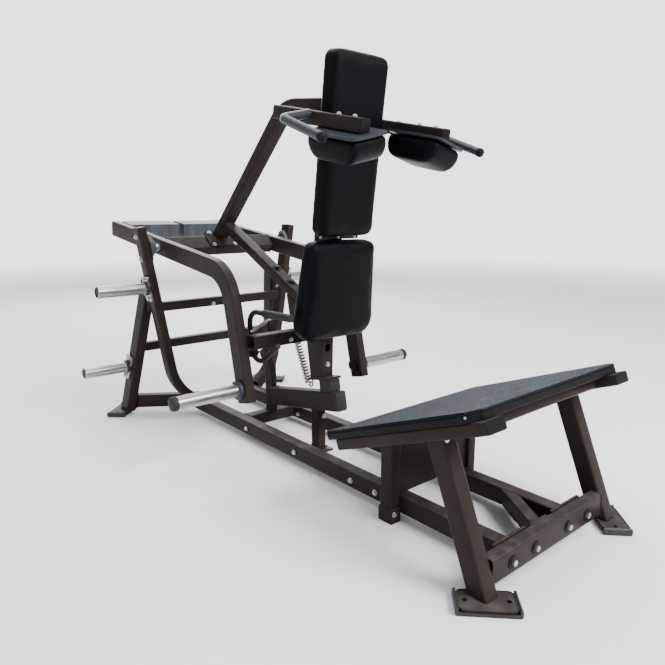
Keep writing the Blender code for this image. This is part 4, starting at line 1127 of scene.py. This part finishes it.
class MACHINE_OT_caps(bpy.types.Operator):
    """Plugs the open tube ends, caps the horns and handles, and covers the stop beam's nose"""

    bl_idname = "machine.caps"
    bl_label = "Plugs and caps"

    def execute(self, context):
        for body, ends in PLUGGED_ENDS.items():
            shapes = [plug_shape(*end_outline(*end), sizes().plug_thickness) for end in ends]
            add_piece("tube_plugs_" + body, join_shapes(shapes), "plastic", body)
        r = HORN_RADIUS - 0.0040
        profile = (
            (-0.002, r), (0.0006, r), (0.0014, r - 0.001),
            (0.0014, r - 0.003), (0.0006, r - 0.004), (0.0006, 0),
        )
        tips = []
        for name, s in SIDES:
            for level, (y, z) in (("upper", UPPER_HORN), ("lower", LOWER_HORN)):
                low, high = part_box(f"storage_horn_{level}_{name}")
                tip = high.x if s > 0 else low.x
                tips.append(turned_shape(profile, at(tip, y, z), X * s))
        add_piece("horn_plugs", join_shapes(tips), "plastic", "frame")
        r = HORN_RADIUS
        profile = (
            (-0.020, r + 0.0004), (-0.020, r + 0.002), (-0.006, r + 0.002),
            (0.0, r - 0.001), (0.0025, r - 0.007), (0.004, 0),
        )
        caps = [turned_shape(profile, at(s * LOADING_TIP_X, *LOADING_HORN), X * s) for _, s in SIDES]
        add_piece("loading_caps", join_shapes(caps), "rubber", "lever")
        nose = plug_shape(*end_outline("stop_beam", (0, -1, 0.2)), sizes().nose_thickness, 0.0)
        add_piece("stop_nose", nose, "rubber", "frame")
        r = HANDLE_RADIUS + CAP_LIP
        angles = [pi / 2 * step / 8 for step in range(9)]
        profile = [(-0.009, HANDLE_RADIUS + 0.0003), (-0.009, HANDLE_RADIUS + 0.0010), (-0.008, r)]
        profile += [(r * CAP_CROWN * sin(angle), r * cos(angle)) for angle in angles]
        balls = [turned_shape(profile, at(s * HANDLE_END[0], *HANDLE_END[1:]), HANDLE_WAY) for _, s in SIDES]
        add_piece("handle_caps", join_shapes(balls), "plastic", "lever")
        return {"FINISHED"}


class MACHINE_OT_welds(bpy.types.Operator):
    """Runs weld beads round the welded tube ends"""

    bl_idname = "machine.welds"
    bl_label = "Welds"

    def execute(self, context):
        group = weld_tree()
        for body, ends in WELDED_ENDS.items():
            points, lines = [], []
            for node, toward in ends:
                loop, normal = end_outline(node, toward)
                first = len(points)
                points.extend(point - normal * WELD_SUNK for point in loop)
                lines.extend((first + i, first + (i + 1) % len(loop)) for i in range(len(loop)))
            mesh = bpy.data.meshes.new("weld_lines")
            mesh.from_pydata(points, lines, [])
            carrier = linked("weld_lines_" + body, mesh)
            use_tree(carrier, group, Width=sizes().weld_width, Finish=finish_of("paint"))
            place_piece(baked(carrier, "welds_" + body), "paint", body)
        return {"FINISHED"}


class MACHINE_OT_brackets(bpy.types.Operator):
    """Makes the pad bracket, and the release handle's brace from its rear leg over the tie to the grip"""

    bl_idname = "machine.brackets"
    bl_label = "Bracket and brace"

    def execute(self, context):
        place, up, _ = column_frame(BRACKET_Z[0])
        tall = (BRACKET_Z[1] - BRACKET_Z[0]) / up.z
        corners = ((-BRACKET_HALF, 0), (BRACKET_HALF, 0), (BRACKET_HALF, tall), (-BRACKET_HALF, tall))
        outline = rounded_outline([(x, y, BRACKET_ROUND) for x, y in corners], 3)
        add_piece("pad_bracket", pad_shape(outline, ((0, 0), (0, BRACKET_THICK)), place), "paint", "lever")
        low, high = at(RELEASE_X, *BRACE_LOW), at(RELEASE_X, *BRACE_HIGH)
        axis = high - low
        r = BRACE_RADIUS
        profile = [(0, 0), (0, r - 0.001), (0.001, r), (axis.length, r), (axis.length, 0)]
        add_piece("release_brace", turned_shape(profile, low, axis, 16), "zinc", "release")
        return {"FINISHED"}


class MACHINE_OT_spring(bpy.types.Operator):
    """Winds the return spring and hooks it on the column's gusset and foot"""

    bl_idname = "machine.spring"
    bl_label = "Spring"

    def execute(self, context):
        top, low = at(SPRING_X, *SPRING_TOP), at(SPRING_X, *SPRING_LOW)
        axis = (low - top).normalized()
        across = axis.cross(X).normalized()
        points = [*(at(SPRING_X, *spot) for spot in UPPER_HOOK), top - axis * SPRING_NECK]
        count = SPRING_TURNS * SPRING_STEPS
        for step in range(count + 1):
            share = step / count
            angle = 2 * pi * step / SPRING_STEPS
            centre = top.lerp(low, COIL_START + COIL_SHARE * share)
            points.append(centre + (X * cos(angle) + across * sin(angle)) * SPRING_RADIUS)
        points += [low, *(at(SPRING_X, *spot) for spot in LOWER_HOOK)]
        curve = bpy.data.curves.new("return_spring", "CURVE")
        wire = sizes().spring_wire
        put(curve, dimensions="3D", bevel_depth=wire / 2, bevel_resolution=2, use_fill_caps=True)
        spline = curve.splines.new("POLY")
        spline.points.add(len(points) - 1)
        for spot, point in zip(spline.points, points):
            spot.co = (*point, 1)
        obj = baked(linked("spring_line", curve), "return_spring")
        obj.data.shade_smooth()
        place_piece(obj, "coil", "lever")
        return {"FINISHED"}


def colour_property(name, description, default):
    """A colour that the panel shows."""
    return bpy.props.FloatVectorProperty(
        name=name, description=description, default=default, size=3, min=0, max=1, subtype="COLOR"
    )


def number_property(name, description, default, unit="LENGTH", least=0):
    """A number that the panel shows, a length unless another unit is given."""
    return bpy.props.FloatProperty(name=name, description=description, default=default, min=least, unit=unit)


class MachineSizes(bpy.types.PropertyGroup):
    """Sizes of the pieces."""

    edge_round: number_property("Edge rounding", "Width of the rounding on sharp metal edges", 0.0009)
    plug_thickness: number_property("Plug thickness", "How far a tube plug's flange stands proud", 0.0030)
    nose_thickness: number_property(
        "Nose thickness", "Thickness of the rubber on the stop beam's front end", 0.0070
    )
    weld_width: number_property("Weld width", "Width of a weld bead", 0.0056)
    pad_voxel: number_property("Pad mesh", "Edge length of the pads' mesh before subdivision", 0.006)
    pad_swell: number_property("Pad swell", "The most that a pad's skin swells out", 0.0032)
    pad_pressure: number_property("Pad pressure", "Pressure that fills the pads", 3.0, "NONE")
    spring_wire: number_property("Spring wire", "Diameter of the spring's wire", 0.0068)


class MachineColours(bpy.types.PropertyGroup):
    """Colours of the finishes."""

    paint: colour_property("Paint", "Dark bronze powder coat", (0.0225, 0.0168, 0.0145))
    chrome: colour_property("Sleeves", "Bright steel of the plate sleeves", (0.46, 0.45, 0.43))
    zinc: colour_property("Zinc", "Zinc plating", (0.58, 0.58, 0.56))
    rubber: colour_property("Rubber", "Moulded black rubber", (0.0085, 0.0090, 0.0105))
    grip: colour_property("Grips", "Blue-grey black rubber of the handles", (0.0240, 0.0290, 0.0360))
    grit: colour_property("Deck mat", "Slate grey grit mat", (0.046, 0.053, 0.060))
    vinyl: colour_property("Vinyl", "Near-black blue upholstery", (0.0016, 0.0019, 0.0030))
    weight: colour_property("Weights", "Slate coat of the counterweights", (0.052, 0.060, 0.074))


class MachineStage(bpy.types.PropertyGroup):
    """The floor, the lights and the lens."""

    floor_colour: colour_property("Floor", "Pale studio floor", (0.86, 0.86, 0.86))
    light_power: number_property("Key light", "Power of the key light", 230, "POWER")
    sky_strength: number_property("Sky", "Strength of the surrounding light", 1.0, "NONE")
    backdrop: number_property("Backdrop", "Brightness of the backdrop behind the floor", 2.6, "NONE")
    lens: number_property("Lens", "Focal length", 32.75, "CAMERA", 10)


PIECES = (
    MACHINE_OT_stage, MACHINE_OT_finishes, MACHINE_OT_cushions, MACHINE_OT_shoulder_pads,
    MACHINE_OT_fasteners, MACHINE_OT_caps, MACHINE_OT_welds, MACHINE_OT_brackets, MACHINE_OT_spring,
)


class MACHINE_PT_looks(bpy.types.Panel):
    """Lists the machine's pieces, sizes and colours"""

    bl_label = "Machine looks"
    bl_space_type = "VIEW_3D"
    bl_region_type = "UI"
    bl_category = "Machine"

    def draw(self, context):
        for piece in PIECES:
            self.layout.operator(piece.bl_idname)
        for name in SETTINGS:
            settings = getattr(context.scene, name)
            column = self.layout.column(align=True)
            for key in settings.bl_rna.properties.keys():
                if key not in ("rna_type", "name"):
                    column.prop(settings, key)


CLASSES = (MachineSizes, MachineColours, MachineStage, *PIECES, MACHINE_PT_looks)
SETTINGS = {"machine_sizes": MachineSizes, "machine_colours": MachineColours, "machine_stage": MachineStage}


def register():
    for made in CLASSES:
        bpy.utils.register_class(made)
    for name, group in SETTINGS.items():
        setattr(bpy.types.Scene, name, bpy.props.PointerProperty(type=group))


def unregister():
    for name in SETTINGS:
        delattr(bpy.types.Scene, name)
    for made in reversed(CLASSES):
        bpy.utils.unregister_class(made)


def main():
    """Registers the add-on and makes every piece."""
    register()
    for obj in list(bpy.data.objects):
        if "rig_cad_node" not in obj and not obj.name.startswith("body:"):
            bpy.data.objects.remove(obj)
    bpy.ops.machine.stage()
    bpy.ops.machine.finishes()
    bpy.ops.machine.cushions()
    bpy.ops.machine.shoulder_pads()
    bpy.ops.machine.fasteners()
    bpy.ops.machine.caps()
    bpy.ops.machine.welds()
    bpy.ops.machine.brackets()
    bpy.ops.machine.spring()


if __name__ == "__main__":
    main()
